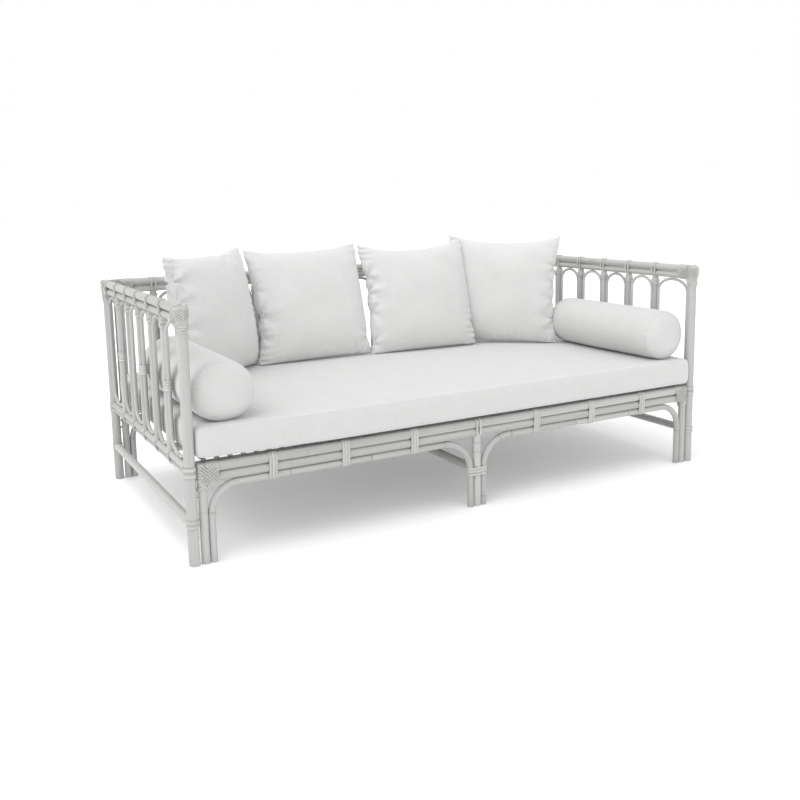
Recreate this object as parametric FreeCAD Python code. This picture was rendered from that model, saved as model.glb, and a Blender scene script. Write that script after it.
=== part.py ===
"""Rattan daybed, 2.0 m long: four bound pole frames, a lath deck, a mattress and its cushions.

Millimetres. X runs along the length, the open front faces -Y and +Z is up. The origin is on the
floor, under the middle of the frame.
"""
import FreeCAD, Part
import math
import os
from collections import namedtuple

V = FreeCAD.Vector
X_AXIS = V(1, 0, 0)
Y_AXIS = V(0, 1, 0)
Z_AXIS = V(0, 0, 1)
SIDES = {"left": -1, "right": 1}
ENDS = (-1, 1)

# ---- overall
LENGTH = 2000.0
DEPTH = 1000.0
FRAME_HEIGHT = 760.0
SEAT_RAIL_TOP = 300.0
FIT = 0.3                    # clearance between round faces that bear on each other

# ---- pole diameters
POST_D = 32.0                # corner posts of the arm frames
END_POST_D = 26.0            # end posts of the front and back frames
MIDDLE_POST_D = 28.0
TOP_RAIL_D = 28.0
SECOND_RAIL_D = 24.0
SPINDLE_D = 24.0
LOOP_D = 11.0
APRON_UPPER_D = 30.0
APRON_LOWER_D = 28.0
BENT_CANE_D = 22.0
SIDE_SEAT_RAIL_D = 24.0
SIDE_LOWER_RAIL_D = 15.0
STRETCHER_D = 28.0
LEDGER_D = 20.0
BEARER_D = 28.0
CROSS_RAIL_D = 24.0

# ---- spacing
RAIL_SLIT = 0.6              # between the two top rails
PANEL_GAP = 5.4              # arm post to end post, room for the wraps on both
ARM_SPINDLES = 5
ARM_SPINDLE_PITCH = 147.0
BACK_SPINDLES = 13
STRETCHER_HEIGHT = 125.0
BEARER_GAP = 1.5             # bearers sit this many spindle pitches from the middle
POST_EDGE = 3.0              # rounding at a post's ends

# ---- bent canes and loops
END_BEND_R = 85.0
MIDDLE_BEND_R = 105.0
LEFT_SPLICE_X = -400.0
RIGHT_SPLICES_X = (140.0, 420.0)
LOOP_RISE = 46.0             # height of a loop's arched end
LOOP_CORNER_R = 36.0
LOOP_BUTT = 0.6              # open butt joint at the foot of a loop

# ---- leather peel wraps
PEEL = 2.0
BAND_WIDTH = 26.0
FRONT_BAND_X = (245.0, 490.0, 730.0)
BACK_BAND_SPINDLES = (2, 4, 6)   # counted from the middle one
APRON_BAND_WIDTH = 29.0
COLLAR_HEIGHT = 34.0
COLLAR_GAP = 4.0
MID_WRAP_Z = 500.0
MID_WRAP_HEIGHT = 32.0
ARM_MID_WRAPS = (0, 2, 4)
CORNER_WRAP_REACH = 54.0     # along the rails, from a post's axis
CORNER_WRAP_DROP = 70.0      # down the post, from the frame's top
APRON_WRAP_REACH = 46.0
APRON_WRAP_DROP = 75.0
POST_RINGS = ((279.0, 34.0), (125.0, 26.0))     # middle height and width of each ring
LEG_BAND_Z = 123.0
LEG_BAND_HEIGHT = 34.0

# ---- deck
LATHS = 47
LATH_WIDTH = 12.0
LATH_THICKNESS = 8.0
LATH_END_X = 933.0
LATH_EDGE = 2.5
DECK_SEAT = 0.2              # lath to pole, mattress to lath

# ---- fasteners
BOLT_D = 8.0
BOLT_HEAD_D = 13.0
BOLT_HEAD_HEIGHT = 5.0
INSERT_D = 12.0
INSERT_LENGTH = 15.0
LOWER_BOLT_Z = 197.0
UPPER_BOLT_Z = 676.0
BOLT_PLAY = 0.1

# ---- soft goods
MATTRESS_THICKNESS = 98.0
MATTRESS_EDGE = 24.0
MATTRESS_SIDE_GAP = 5.0
SOFT_GAP = 0.4
BOLSTER_D = 184.0
BOLSTER_LENGTH = 548.0
BOLSTER_X = 870.0
BOLSTER_FRONT_Y = -480.0
BOLSTER_EDGE = 18.0
CUSHION_WIDTH = 474.0
CUSHION_HEIGHT = 456.0
CUSHION_THICKNESS = 136.0
CUSHION_SEAM = 8.0
CUSHION_CROWN = 0.40         # size of the flat middle over the cushion's size
Cushion = namedtuple("Cushion", "x y turn lean roll")     # foot of the middle, then degrees
CUSHIONS = {
    "cushion_1": Cushion(-655.3, 221.8, 39.0, 8.9, 0.5),
    "cushion_2": Cushion(-229.6, 303.5, -1.4, 15.1, 1.2),
    "cushion_3": Cushion(245.4, 263.9, -5.5, 14.8, 1.1),
    "cushion_4": Cushion(613.1, 224.6, -40.5, 6.7, -1.4),
}

# ---- places that follow from the sizes
WRAP = FIT + PEEL
POST_X = LENGTH / 2 - WRAP - POST_D / 2
POST_Y = DEPTH / 2 - WRAP - POST_D / 2
POST_TOP = FRAME_HEIGHT - WRAP
END_POST_X = POST_X - POST_D / 2 - PANEL_GAP - END_POST_D / 2
TOP_RAIL_Z = POST_TOP - TOP_RAIL_D / 2
SECOND_RAIL_Z = POST_TOP - TOP_RAIL_D - RAIL_SLIT - SECOND_RAIL_D / 2
UNDER_RAIL_Z = SECOND_RAIL_Z - SECOND_RAIL_D / 2
APRON_UPPER_Z = SEAT_RAIL_TOP - APRON_UPPER_D / 2
APRON_LOWER_Z = APRON_UPPER_Z - APRON_UPPER_D / 2 - FIT - APRON_LOWER_D / 2
BENT_CANE_Z = APRON_LOWER_Z - APRON_LOWER_D / 2 - FIT - BENT_CANE_D / 2
SIDE_SEAT_RAIL_Z = SEAT_RAIL_TOP - SIDE_SEAT_RAIL_D / 2
SIDE_LOWER_RAIL_Z = SIDE_SEAT_RAIL_Z - SIDE_SEAT_RAIL_D / 2 - FIT - SIDE_LOWER_RAIL_D / 2
END_LEG_X = END_POST_X - END_POST_D / 2 - FIT - BENT_CANE_D / 2
MIDDLE_LEG_X = MIDDLE_POST_D / 2 + FIT + BENT_CANE_D / 2
LEDGER_Y = POST_Y - APRON_UPPER_D / 2 - WRAP - FIT - LEDGER_D / 2
LEDGER_Z = SEAT_RAIL_TOP - LEDGER_D / 2
SIDE_FACE_X = POST_X - SIDE_SEAT_RAIL_D / 2 - FIT
BEARER_Z = SEAT_RAIL_TOP - BEARER_D / 2
BEARER_Y = BEARER_GAP * ARM_SPINDLE_PITCH
CROSS_RAIL_Z = SEAT_RAIL_TOP - BEARER_D - FIT - CROSS_RAIL_D / 2
LATH_BOTTOM = SEAT_RAIL_TOP + DECK_SEAT
MATTRESS_BOTTOM = LATH_BOTTOM + LATH_THICKNESS + DECK_SEAT
MATTRESS_TOP = MATTRESS_BOTTOM + MATTRESS_THICKNESS
MATTRESS_X = POST_X - POST_D / 2 - MATTRESS_SIDE_GAP
MATTRESS_BACK_Y = POST_Y - SPINDLE_D / 2 - MATTRESS_SIDE_GAP
BOLSTER_Z = MATTRESS_TOP + SOFT_GAP + BOLSTER_D / 2
BACK_PITCH = 2 * END_POST_X / (BACK_SPINDLES + 1)

Pole = namedtuple("Pole", "start end diameter")


# ---- poles and canes

def pole_solid(pole, grow=0.0):
    """Round pole, grown all round by a clearance."""
    run = pole.end - pole.start
    return Part.makeCylinder(pole.diameter / 2 + grow, run.Length, pole.start, run)


def coped(pole, first=None, last=None):
    """Pole hollowed at its ends to sit on the round poles whose axes it is drawn between."""
    run = (pole.end - pole.start).normalize()
    start = pole.start + run * (first.diameter / 4 if first else 0)
    end = pole.end - run * (last.diameter / 4 if last else 0)
    solid = pole_solid(Pole(start, end, pole.diameter))
    for seat in (first, last):
        if seat:
            solid = solid.cut(pole_solid(seat, FIT))
    return largest(solid)


def largest(shape):
    return max(shape.Solids, key=lambda piece: piece.Volume)


def post_solid(pole):
    """Upright with both end edges eased."""
    solid = pole_solid(pole)
    rims = [edge for edge in solid.Edges if isinstance(edge.Curve, Part.Circle)]
    return solid.makeFillet(POST_EDGE, rims)


def swept(edges, direction, diameter):
    """Round cane along tangent lines and arcs, starting in the given direction."""
    start = edges[0].valueAt(edges[0].FirstParameter)
    ring = Part.Wire(Part.Edge(Part.Circle(start, direction, diameter / 2)))
    return Part.Wire(edges).makePipeShell([ring], True, False)


def line(start, end):
    return Part.LineSegment(start, end).toShape()


def arc(start, middle, end):
    return Part.Arc(start, middle, end).toShape()


def bent_cane(leg_x, run_end_x, bend_r, y):
    """Cane that rises from the floor at leg_x and turns to run under the apron to run_end_x."""
    turn = 1 if run_end_x > leg_x else -1
    centre = V(leg_x + turn * bend_r, y, BENT_CANE_Z - bend_r)
    lower = V(leg_x, y, centre.z)
    upper = V(centre.x, y, BENT_CANE_Z)
    middle = centre + V(-turn, 0, 1) * (bend_r * math.sqrt(0.5))
    path = [
        line(V(leg_x, y, 0), lower),
        arc(lower, middle, upper),
        line(upper, V(run_end_x, y, BENT_CANE_Z)),
    ]
    return swept(path, Z_AXIS, BENT_CANE_D)


def loop_cane(centre, along, half_gap, foot, head):
    """Slender closed cane that lines one gap between two uprights.

    half_gap is half the clear gap; foot and head are the rail faces it touches. Each end is an
    arch of three arcs: a crown between two tighter corners.
    """
    reach = half_gap - FIT - LOOP_D / 2
    low = foot + FIT + LOOP_D / 2
    high = head - FIT - LOOP_D / 2
    inset = reach - LOOP_CORNER_R
    crown_r = (inset ** 2 + LOOP_RISE ** 2 - LOOP_CORNER_R ** 2) / (2 * (LOOP_RISE - LOOP_CORNER_R))
    corner_turn = math.atan2(crown_r - LOOP_RISE, inset)
    butt_turn = LOOP_BUTT / 2 / crown_r

    def at(u, v):
        return centre + along * u + Z_AXIS * v

    def on_corner(side, end, angle):
        spring = high - LOOP_RISE if end > 0 else low + LOOP_RISE
        u = inset + LOOP_CORNER_R * math.cos(angle)
        return at(side * u, spring + end * LOOP_CORNER_R * math.sin(angle))

    def on_crown(side, end, angle):
        hub = high - crown_r if end > 0 else low + crown_r
        return at(side * crown_r * math.sin(angle), hub + end * crown_r * math.cos(angle))

    crown_turn = math.pi / 2 - corner_turn
    middle_turn = (crown_turn + butt_turn) / 2
    path = [
        arc(on_crown(1, -1, butt_turn), on_crown(1, -1, middle_turn), on_crown(1, -1, crown_turn)),
        arc(on_corner(1, -1, corner_turn), on_corner(1, -1, corner_turn / 2), on_corner(1, -1, 0)),
        line(on_corner(1, -1, 0), on_corner(1, 1, 0)),
        arc(on_corner(1, 1, 0), on_corner(1, 1, corner_turn / 2), on_corner(1, 1, corner_turn)),
        arc(on_crown(1, 1, crown_turn), at(0, high), on_crown(-1, 1, crown_turn)),
        arc(on_corner(-1, 1, corner_turn), on_corner(-1, 1, corner_turn / 2), on_corner(-1, 1, 0)),
        line(on_corner(-1, 1, 0), on_corner(-1, -1, 0)),
        arc(on_corner(-1, -1, 0), on_corner(-1, -1, corner_turn / 2), on_corner(-1, -1, corner_turn)),
        arc(on_crown(-1, -1, crown_turn), on_crown(-1, -1, middle_turn), on_crown(-1, -1, butt_turn)),
    ]
    return swept(path, path[0].tangentAt(path[0].FirstParameter), LOOP_D)


# ---- peel wraps

def placed(shape, origin, u_axis, v_axis):
    """Shape drawn on X and Y, moved so that they lie along u_axis and v_axis."""
    w_axis = u_axis.cross(v_axis)
    turn = FreeCAD.Matrix(
        u_axis.x, v_axis.x, w_axis.x, origin.x,
        u_axis.y, v_axis.y, w_axis.y, origin.y,
        u_axis.z, v_axis.z, w_axis.z, origin.z,
        0, 0, 0, 1)
    moved = shape.copy()
    moved.Placement = FreeCAD.Placement(turn)
    return moved


def belt(first, second, grow, width):
    """Prism inside a belt drawn tight round two circles, each (u, v, radius)."""
    u1, v1, r1 = first[0], first[1], first[2] + grow
    u2, v2, r2 = second[0], second[1], second[2] + grow
    heading = math.atan2(v2 - v1, u2 - u1)
    spread = math.acos((r1 - r2) / math.hypot(u2 - u1, v2 - v1))

    def rim(u, v, r, angle):
        return V(u + r * math.cos(angle), v + r * math.sin(angle), -width / 2)

    near = [rim(u1, v1, r1, heading + turn) for turn in (spread, math.pi, -spread)]
    far = [rim(u2, v2, r2, heading + turn) for turn in (-spread, 0, spread)]
    outline = Part.Wire([arc(*near), line(near[2], far[0]), arc(*far), line(far[2], near[0])])
    return Part.Face(outline).extrude(V(0, 0, width))


def wrapped_core(circles, grow, width):
    """Prism that fills a wrap drawn round a row of parallel poles."""
    core = belt(circles[0], circles[1], grow, width)
    for first, second in zip(circles[1:], circles[2:]):
        core = core.fuse(belt(first, second, grow, width))
    return core.removeSplitter()


def strap(circles, width):
    """Band of peel round a row of parallel poles."""
    return wrapped_core(circles, WRAP, width).cut(wrapped_core(circles, FIT, width + 1))


def collar(centre, diameter, height):
    """Band of peel round one upright, centred on the given point."""
    base = centre - Z_AXIS * (height / 2)
    outer = Part.makeCylinder(diameter / 2 + WRAP, height, base)
    return outer.cut(Part.makeCylinder(diameter / 2 + FIT, height, base))


def corner_wrap(post, top, rails, rail_dir, reach, drop):
    """Braided peel over a post and the ends of the two rails that meet it below the height top.

    rails are two (z, diameter) pairs, rail_dir points along them away from the post.
    """
    across = Z_AXIS.cross(rail_dir)
    circles = [(0, z, diameter / 2) for z, diameter in rails]
    axis_foot = V(post.end.x, post.end.y, 0)
    sleeve_top = axis_foot + Z_AXIS * top
    sleeve = Pole(sleeve_top - Z_AXIS * drop, sleeve_top, post.diameter)
    outer = wrapped_core(circles, WRAP, reach)
    inner = wrapped_core(circles, FIT, reach + 2)
    wrap = pole_solid(sleeve, WRAP).fuse(
        placed(outer, axis_foot + rail_dir * (reach / 2), across, Z_AXIS))
    wrap = wrap.cut(placed(inner, axis_foot + rail_dir * (reach / 2 + 1), across, Z_AXIS))
    wrap = wrap.cut(pole_solid(post, FIT))
    return largest(wrap)


# ---- the poles that other pieces are fitted to

def arm_posts(side):
    x = SIDES[side] * POST_X
    return [Pole(V(x, y, 0), V(x, y, POST_TOP), POST_D) for y in (-POST_Y, POST_Y)]


def arm_rail(side, z, diameter):
    x = SIDES[side] * POST_X
    return Pole(V(x, -POST_Y, z), V(x, POST_Y, z), diameter)


def arm_spindles(side):
    x = SIDES[side] * POST_X
    middle = (ARM_SPINDLES - 1) / 2
    places = [(index - middle) * ARM_SPINDLE_PITCH for index in range(ARM_SPINDLES)]
    return [Pole(V(x, y, SIDE_SEAT_RAIL_Z), V(x, y, SECOND_RAIL_Z), SPINDLE_D) for y in places]


def end_posts(y):
    top = SEAT_RAIL_TOP if y < 0 else POST_TOP
    return [Pole(V(sign * END_POST_X, y, 0), V(sign * END_POST_X, y, top), END_POST_D)
            for sign in ENDS]


def long_rail(y, z, diameter):
    return Pole(V(-END_POST_X, y, z), V(END_POST_X, y, z), diameter)


def middle_post(y):
    return Pole(V(0, y, 0), V(0, y, APRON_LOWER_Z), MIDDLE_POST_D)


def back_spindles():
    middle = (BACK_SPINDLES - 1) / 2
    places = [(index - middle) * BACK_PITCH for index in range(BACK_SPINDLES)]
    return [Pole(V(x, POST_Y, APRON_UPPER_Z), V(x, POST_Y, SECOND_RAIL_Z), SPINDLE_D)
            for x in places]


def cross_rail():
    return Pole(V(0, -POST_Y, CROSS_RAIL_Z), V(0, POST_Y, CROSS_RAIL_Z), CROSS_RAIL_D)


def middle_stretcher():
    return Pole(V(0, -POST_Y, STRETCHER_HEIGHT), V(0, POST_Y, STRETCHER_HEIGHT), STRETCHER_D)


TOP_RAILS = [(TOP_RAIL_Z, TOP_RAIL_D), (SECOND_RAIL_Z, SECOND_RAIL_D)]
APRON_RAILS = [(APRON_UPPER_Z, APRON_UPPER_D), (APRON_LOWER_Z, APRON_LOWER_D)]
TOP_PAIR = [(0, TOP_RAIL_Z, TOP_RAIL_D / 2), (0, SECOND_RAIL_Z, SECOND_RAIL_D / 2)]
SIDE_SEAT_PAIR = [(0, SIDE_SEAT_RAIL_Z, SIDE_SEAT_RAIL_D / 2),
                  (0, SIDE_LOWER_RAIL_Z, SIDE_LOWER_RAIL_D / 2)]
APRON_PAIR = [(0, APRON_UPPER_Z, APRON_UPPER_D / 2), (0, APRON_LOWER_Z, APRON_LOWER_D / 2)]
APRON_THREE = APRON_PAIR + [(0, BENT_CANE_Z, BENT_CANE_D / 2)]


# ---- bolts that join the end posts to the arm posts

def bolt_axes(sign, y):
    """Bolt lines at one corner, each as a pole from the end post's inner face to the insert's end."""
    face = END_POST_X - END_POST_D / 2
    tip = POST_X - POST_D / 2 + INSERT_LENGTH
    heights = [LOWER_BOLT_Z] if y < 0 else [LOWER_BOLT_Z, UPPER_BOLT_Z]
    return [Pole(V(sign * face, y, z), V(sign * tip, y, z), BOLT_D) for z in heights]


def corner_bolts():
    return [axis for sign in ENDS for y in (-POST_Y, POST_Y) for axis in bolt_axes(sign, y)]


def bolt_head(axis):
    run = (axis.end - axis.start).normalize()
    return Pole(axis.start, axis.start + run * BOLT_HEAD_HEIGHT, BOLT_HEAD_D)


def insert_pole(axis):
    run = (axis.end - axis.start).normalize()
    return Pole(axis.end - run * INSERT_LENGTH, axis.end, INSERT_D)


def bored(solid, poles):
    """Solid with a bore, one play larger all round, for each pole."""
    for pole in poles:
        solid = solid.cut(pole_solid(pole, BOLT_PLAY))
    return solid


def bored_arm_post(post):
    inserts = [insert_pole(axis) for axis in corner_bolts()]
    return bored(post_solid(post), inserts)


def bored_end_post(post):
    axes = corner_bolts()
    return bored(post_solid(post), axes + [bolt_head(axis) for axis in axes])


def frame_bolts():
    return [pole_solid(axis).fuse(pole_solid(bolt_head(axis))).removeSplitter()
            for axis in corner_bolts()]


def bolt_inserts():
    return [bored(pole_solid(insert_pole(axis)), [axis]) for axis in corner_bolts()]


# ---- arm frames

def gaps_between(uprights):
    """Middle and half width of each clear gap in a row of (place, diameter) uprights."""
    gaps = []
    for (first, first_d), (second, second_d) in zip(uprights, uprights[1:]):
        low = first + first_d / 2
        high = second - second_d / 2
        gaps.append(((low + high) / 2, (high - low) / 2))
    return gaps


def arm_loops(side):
    x = SIDES[side] * POST_X
    row = [(spindle.start.y, SPINDLE_D) for spindle in arm_spindles(side)]
    uprights = [(-POST_Y, POST_D)] + row + [(POST_Y, POST_D)]
    return [loop_cane(V(x, y, 0), Y_AXIS, half, SEAT_RAIL_TOP, UNDER_RAIL_Z)
            for y, half in gaps_between(uprights)]


def spindle_bands(spindles, across, pair):
    """Bands round a pair of rails, one at each spindle."""
    bands = []
    for spindle in spindles:
        foot = V(spindle.start.x, spindle.start.y, 0)
        band = placed(strap(pair, BAND_WIDTH), foot, across, Z_AXIS)
        bands.append(band.cut(pole_solid(spindle, FIT)))
    return bands


def head_collars(spindles):
    """Collars round the spindles, just under the second rail."""
    middle_z = UNDER_RAIL_Z - COLLAR_GAP - COLLAR_HEIGHT / 2
    return [collar(V(spindle.start.x, spindle.start.y, middle_z), SPINDLE_D, COLLAR_HEIGHT)
            for spindle in spindles]


def mid_wraps(spindles, along):
    """Wraps that bind a spindle and the loop legs on both sides of it."""
    leg = SPINDLE_D / 2 + FIT + LOOP_D / 2
    row = [(-leg, 0, LOOP_D / 2), (0, 0, SPINDLE_D / 2), (leg, 0, LOOP_D / 2)]
    band = strap(row, MID_WRAP_HEIGHT)
    return [placed(band, V(spindle.start.x, spindle.start.y, MID_WRAP_Z), along, Z_AXIS.cross(along))
            for spindle in spindles]


def arm_corner_wraps(side):
    """Braided heads of an arm's two posts."""
    inwards = [Y_AXIS, -Y_AXIS]
    return [corner_wrap(post, POST_TOP, TOP_RAILS, inward, CORNER_WRAP_REACH, CORNER_WRAP_DROP)
            for post, inward in zip(arm_posts(side), inwards)]


def arm_post_rings(side):
    """Peel rings over the seat rail joint and the stretcher joint of each arm post."""
    rails = [arm_rail(side, SIDE_SEAT_RAIL_Z, SIDE_SEAT_RAIL_D),
             arm_rail(side, SIDE_LOWER_RAIL_Z, SIDE_LOWER_RAIL_D),
             arm_rail(side, STRETCHER_HEIGHT, STRETCHER_D)]
    rings = []
    for post in arm_posts(side):
        for z, height in POST_RINGS:
            ring = collar(V(post.start.x, post.start.y, z), POST_D, height)
            ring = ring.cut([pole_solid(rail, FIT) for rail in rails])
            rings.append(largest(ring))
    return rings


def arm_frame(side):
    posts = arm_posts(side)
    spindles = arm_spindles(side)
    seat = arm_rail(side, SIDE_SEAT_RAIL_Z, SIDE_SEAT_RAIL_D)
    second = arm_rail(side, SECOND_RAIL_Z, SECOND_RAIL_D)
    across = Z_AXIS.cross(Y_AXIS)
    bands = spindle_bands(spindles, across, TOP_PAIR)
    bands += spindle_bands(spindles, across, SIDE_SEAT_PAIR)
    bound = [spindles[index] for index in ARM_MID_WRAPS]
    return {
        "front_post": [bored_arm_post(posts[0])],
        "back_post": [bored_arm_post(posts[1])],
        "top_rail": [coped(arm_rail(side, TOP_RAIL_Z, TOP_RAIL_D), *posts)],
        "second_rail": [coped(second, *posts)],
        "seat_rail": [coped(seat, *posts)],
        "lower_rail": [coped(arm_rail(side, SIDE_LOWER_RAIL_Z, SIDE_LOWER_RAIL_D), *posts)],
        "stretcher": [coped(arm_rail(side, STRETCHER_HEIGHT, STRETCHER_D), *posts)],
        "spindles": [coped(spindle, seat, second) for spindle in spindles],
        "loops": arm_loops(side),
        "rail_bands": bands,
        "spindle_wraps": head_collars(spindles) + mid_wraps(bound, Y_AXIS),
        "post_wraps": arm_corner_wraps(side) + arm_post_rings(side),
    }


# ---- front and back frames

def bent_canes(y):
    """Canes that turn from the legs into the third rail, butted end to end."""
    first, second = RIGHT_SPLICES_X
    filler = Pole(V(first + FIT, y, BENT_CANE_Z), V(second - FIT, y, BENT_CANE_Z), BENT_CANE_D)
    return [
        bent_cane(-END_LEG_X, LEFT_SPLICE_X, END_BEND_R, y),
        bent_cane(-MIDDLE_LEG_X, LEFT_SPLICE_X + FIT, MIDDLE_BEND_R, y),
        bent_cane(MIDDLE_LEG_X, first, MIDDLE_BEND_R, y),
        pole_solid(filler),
        bent_cane(END_LEG_X, second, END_BEND_R, y),
    ]


def apron_bands(y):
    """Three-pole bands along the apron, and the two-pole band over the middle post."""
    places = FRONT_BAND_X if y < 0 else [count * BACK_PITCH for count in BACK_BAND_SPINDLES]
    three = strap(APRON_THREE, APRON_BAND_WIDTH)
    two = strap(APRON_PAIR, APRON_BAND_WIDTH)
    bands = [placed(three, V(sign * x, y, 0), Y_AXIS, Z_AXIS) for x in places for sign in ENDS]
    bands.append(placed(two, V(0, y, 0), Y_AXIS, Z_AXIS))
    met = [middle_post(y), cross_rail()] + (back_spindles() if y > 0 else [])
    return [band.cut([pole_solid(pole, FIT) for pole in met]) for band in bands]


def leg_band(y):
    """Binding that holds the middle post and the two canes beside it."""
    row = [(-MIDDLE_LEG_X, 0, BENT_CANE_D / 2), (0, 0, MIDDLE_POST_D / 2),
           (MIDDLE_LEG_X, 0, BENT_CANE_D / 2)]
    band = placed(strap(row, LEG_BAND_HEIGHT), V(0, y, LEG_BAND_Z), X_AXIS, Y_AXIS)
    return band.cut([pole_solid(middle_stretcher(), FIT)] + bent_canes(y))


def long_corner_wraps(y, top, rails, reach, drop):
    """Bound corners where a pair of long rails meets the two end posts at the height of top."""
    return [corner_wrap(post, top, rails, X_AXIS * -sign, reach, drop)
            for post, sign in zip(end_posts(y), ENDS)]


def long_frame(y):
    """Pieces that the front and the back frame have alike."""
    posts = end_posts(y)
    upper = long_rail(y, APRON_UPPER_Z, APRON_UPPER_D)
    lower = long_rail(y, APRON_LOWER_Z, APRON_LOWER_D)
    return {
        "end_posts": [bored_end_post(post) for post in posts],
        "apron_upper_rail": [coped(upper, *posts)],
        "apron_lower_rail": [coped(lower, *posts)],
        "middle_post": [coped(middle_post(y), last=lower)],
        "bent_canes": bent_canes(y),
        "apron_bands": apron_bands(y) + [leg_band(y)],
        "apron_corner_wraps": long_corner_wraps(y, SEAT_RAIL_TOP, APRON_RAILS, APRON_WRAP_REACH,
                                                APRON_WRAP_DROP),
    }


def back_panel():
    """Upper part of the back frame: two rails over a row of spindles and loops."""
    posts = end_posts(POST_Y)
    second = long_rail(POST_Y, SECOND_RAIL_Z, SECOND_RAIL_D)
    seat = long_rail(POST_Y, APRON_UPPER_Z, APRON_UPPER_D)
    spindles = back_spindles()
    row = [(spindle.start.x, SPINDLE_D) for spindle in spindles]
    uprights = [(-END_POST_X, END_POST_D)] + row + [(END_POST_X, END_POST_D)]
    return {
        "top_rail": [coped(long_rail(POST_Y, TOP_RAIL_Z, TOP_RAIL_D), *posts)],
        "second_rail": [coped(second, *posts)],
        "spindles": [coped(spindle, seat, second) for spindle in spindles],
        "loops": [loop_cane(V(x, POST_Y, 0), X_AXIS, half, SEAT_RAIL_TOP, UNDER_RAIL_Z)
                  for x, half in gaps_between(uprights)],
        "rail_bands": spindle_bands(spindles, Y_AXIS, TOP_PAIR),
        "spindle_wraps": head_collars(spindles) + mid_wraps(spindles[::2], X_AXIS),
        "top_corner_wraps": long_corner_wraps(POST_Y, POST_TOP, TOP_RAILS, CORNER_WRAP_REACH,
                                              CORNER_WRAP_DROP),
    }


# ---- deck

def deck():
    """Ledgers, bearers and the cross rail, with the laths that lie on them."""
    def between_arms(y, z, diameter):
        return pole_solid(Pole(V(-SIDE_FACE_X, y, z), V(SIDE_FACE_X, y, z), diameter))

    sides = (-POST_Y, POST_Y)
    lower = [long_rail(y, APRON_LOWER_Z, APRON_LOWER_D) for y in sides]
    upper = [long_rail(y, APRON_UPPER_Z, APRON_UPPER_D) for y in sides]
    met = [pole_solid(pole, FIT) for pole in upper + [middle_post(y) for y in sides]]
    return {
        "deck_ledgers": [between_arms(sign * LEDGER_Y, LEDGER_Z, LEDGER_D) for sign in ENDS],
        "deck_bearers": [between_arms(sign * BEARER_Y, BEARER_Z, BEARER_D) for sign in ENDS],
        "deck_cross_rail": [largest(coped(cross_rail(), *lower).cut(met))],
        "deck_laths": deck_laths(),
    }


def deck_laths():
    reach = LEDGER_Y + LEDGER_D / 2 - FIT
    lath = Part.makeBox(LATH_WIDTH, 2 * reach, LATH_THICKNESS,
                        V(-LATH_WIDTH / 2, -reach, LATH_BOTTOM))
    long_edges = [edge for edge in lath.Edges if edge.Length > reach]
    lath = lath.makeFillet(LATH_EDGE, long_edges)
    pitch = 2 * LATH_END_X / (LATHS - 1)
    return [lath.translated(V(-LATH_END_X + index * pitch, 0, 0)) for index in range(LATHS)]


# ---- soft goods

def mattress():
    depth = MATTRESS_BACK_Y + DEPTH / 2
    block = Part.makeBox(2 * MATTRESS_X, depth, MATTRESS_THICKNESS,
                         V(-MATTRESS_X, -DEPTH / 2, MATTRESS_BOTTOM))
    return block.makeFillet(MATTRESS_EDGE, block.Edges)


def bolster(side):
    roll = Pole(V(SIDES[side] * BOLSTER_X, BOLSTER_FRONT_Y, BOLSTER_Z),
                V(SIDES[side] * BOLSTER_X, BOLSTER_FRONT_Y + BOLSTER_LENGTH, BOLSTER_Z), BOLSTER_D)
    solid = pole_solid(roll)
    rims = [edge for edge in solid.Edges if isinstance(edge.Curve, Part.Circle)]
    return solid.makeFillet(BOLSTER_EDGE, rims)


def pillow():
    """Cushion standing on its lower edge, thin at the seam and crowned in the middle."""
    def rectangle(scale, depth):
        half = CUSHION_WIDTH / 2 * scale
        low = CUSHION_HEIGHT / 2 * (1 - scale)
        high = CUSHION_HEIGHT - low
        corners = [V(-half, depth, low), V(half, depth, low), V(half, depth, high),
                   V(-half, depth, high), V(-half, depth, low)]
        return Part.makePolygon(corners)

    sections = [
        rectangle(CUSHION_CROWN, -CUSHION_THICKNESS / 2),
        rectangle(1.0, -CUSHION_SEAM / 2),
        rectangle(1.0, CUSHION_SEAM / 2),
        rectangle(CUSHION_CROWN, CUSHION_THICKNESS / 2),
    ]
    return Part.makeLoft(sections, True, True)


def cushion(place):
    """Cushion rolled in its own plane, leaned back and turned, with its foot on the mattress."""
    centre = V(0, 0, CUSHION_HEIGHT / 2)
    solid = pillow()
    solid.rotate(centre, -Y_AXIS, place.roll)
    solid.rotate(V(0, 0, 0), -X_AXIS, place.lean)
    solid.rotate(V(0, 0, 0), Z_AXIS, place.turn)
    foot = solid.BoundBox.ZMin
    solid.translate(V(place.x, place.y, MATTRESS_TOP + SOFT_GAP - foot))
    return solid


def soft_goods():
    pieces = {"mattress": [mattress()]}
    for side in SIDES:
        pieces["bolster_" + side] = [bolster(side)]
    for name, place in CUSHIONS.items():
        pieces[name] = [cushion(place)]
    return pieces


# ---- the whole daybed

def daybed():
    nodes = {}
    for side in SIDES:
        for name, solids in arm_frame(side).items():
            nodes[side + "_" + name] = solids
    for place, y in (("front", -POST_Y), ("back", POST_Y)):
        for name, solids in long_frame(y).items():
            nodes[place + "_" + name] = solids
    for name, solids in back_panel().items():
        nodes["back_" + name] = solids
    stretcher = coped(middle_stretcher(), middle_post(-POST_Y), middle_post(POST_Y))
    nodes["middle_stretcher"] = [stretcher]
    nodes.update(deck())
    nodes["frame_bolts"] = frame_bolts()
    nodes["bolt_inserts"] = bolt_inserts()
    nodes.update(soft_goods())
    return nodes


os.makedirs("parts", exist_ok=True)
for node, pieces in daybed().items():
    shape = pieces[0] if len(pieces) == 1 else Part.makeCompound(pieces)
    shape.exportStep("parts/" + node + ".step")
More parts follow.
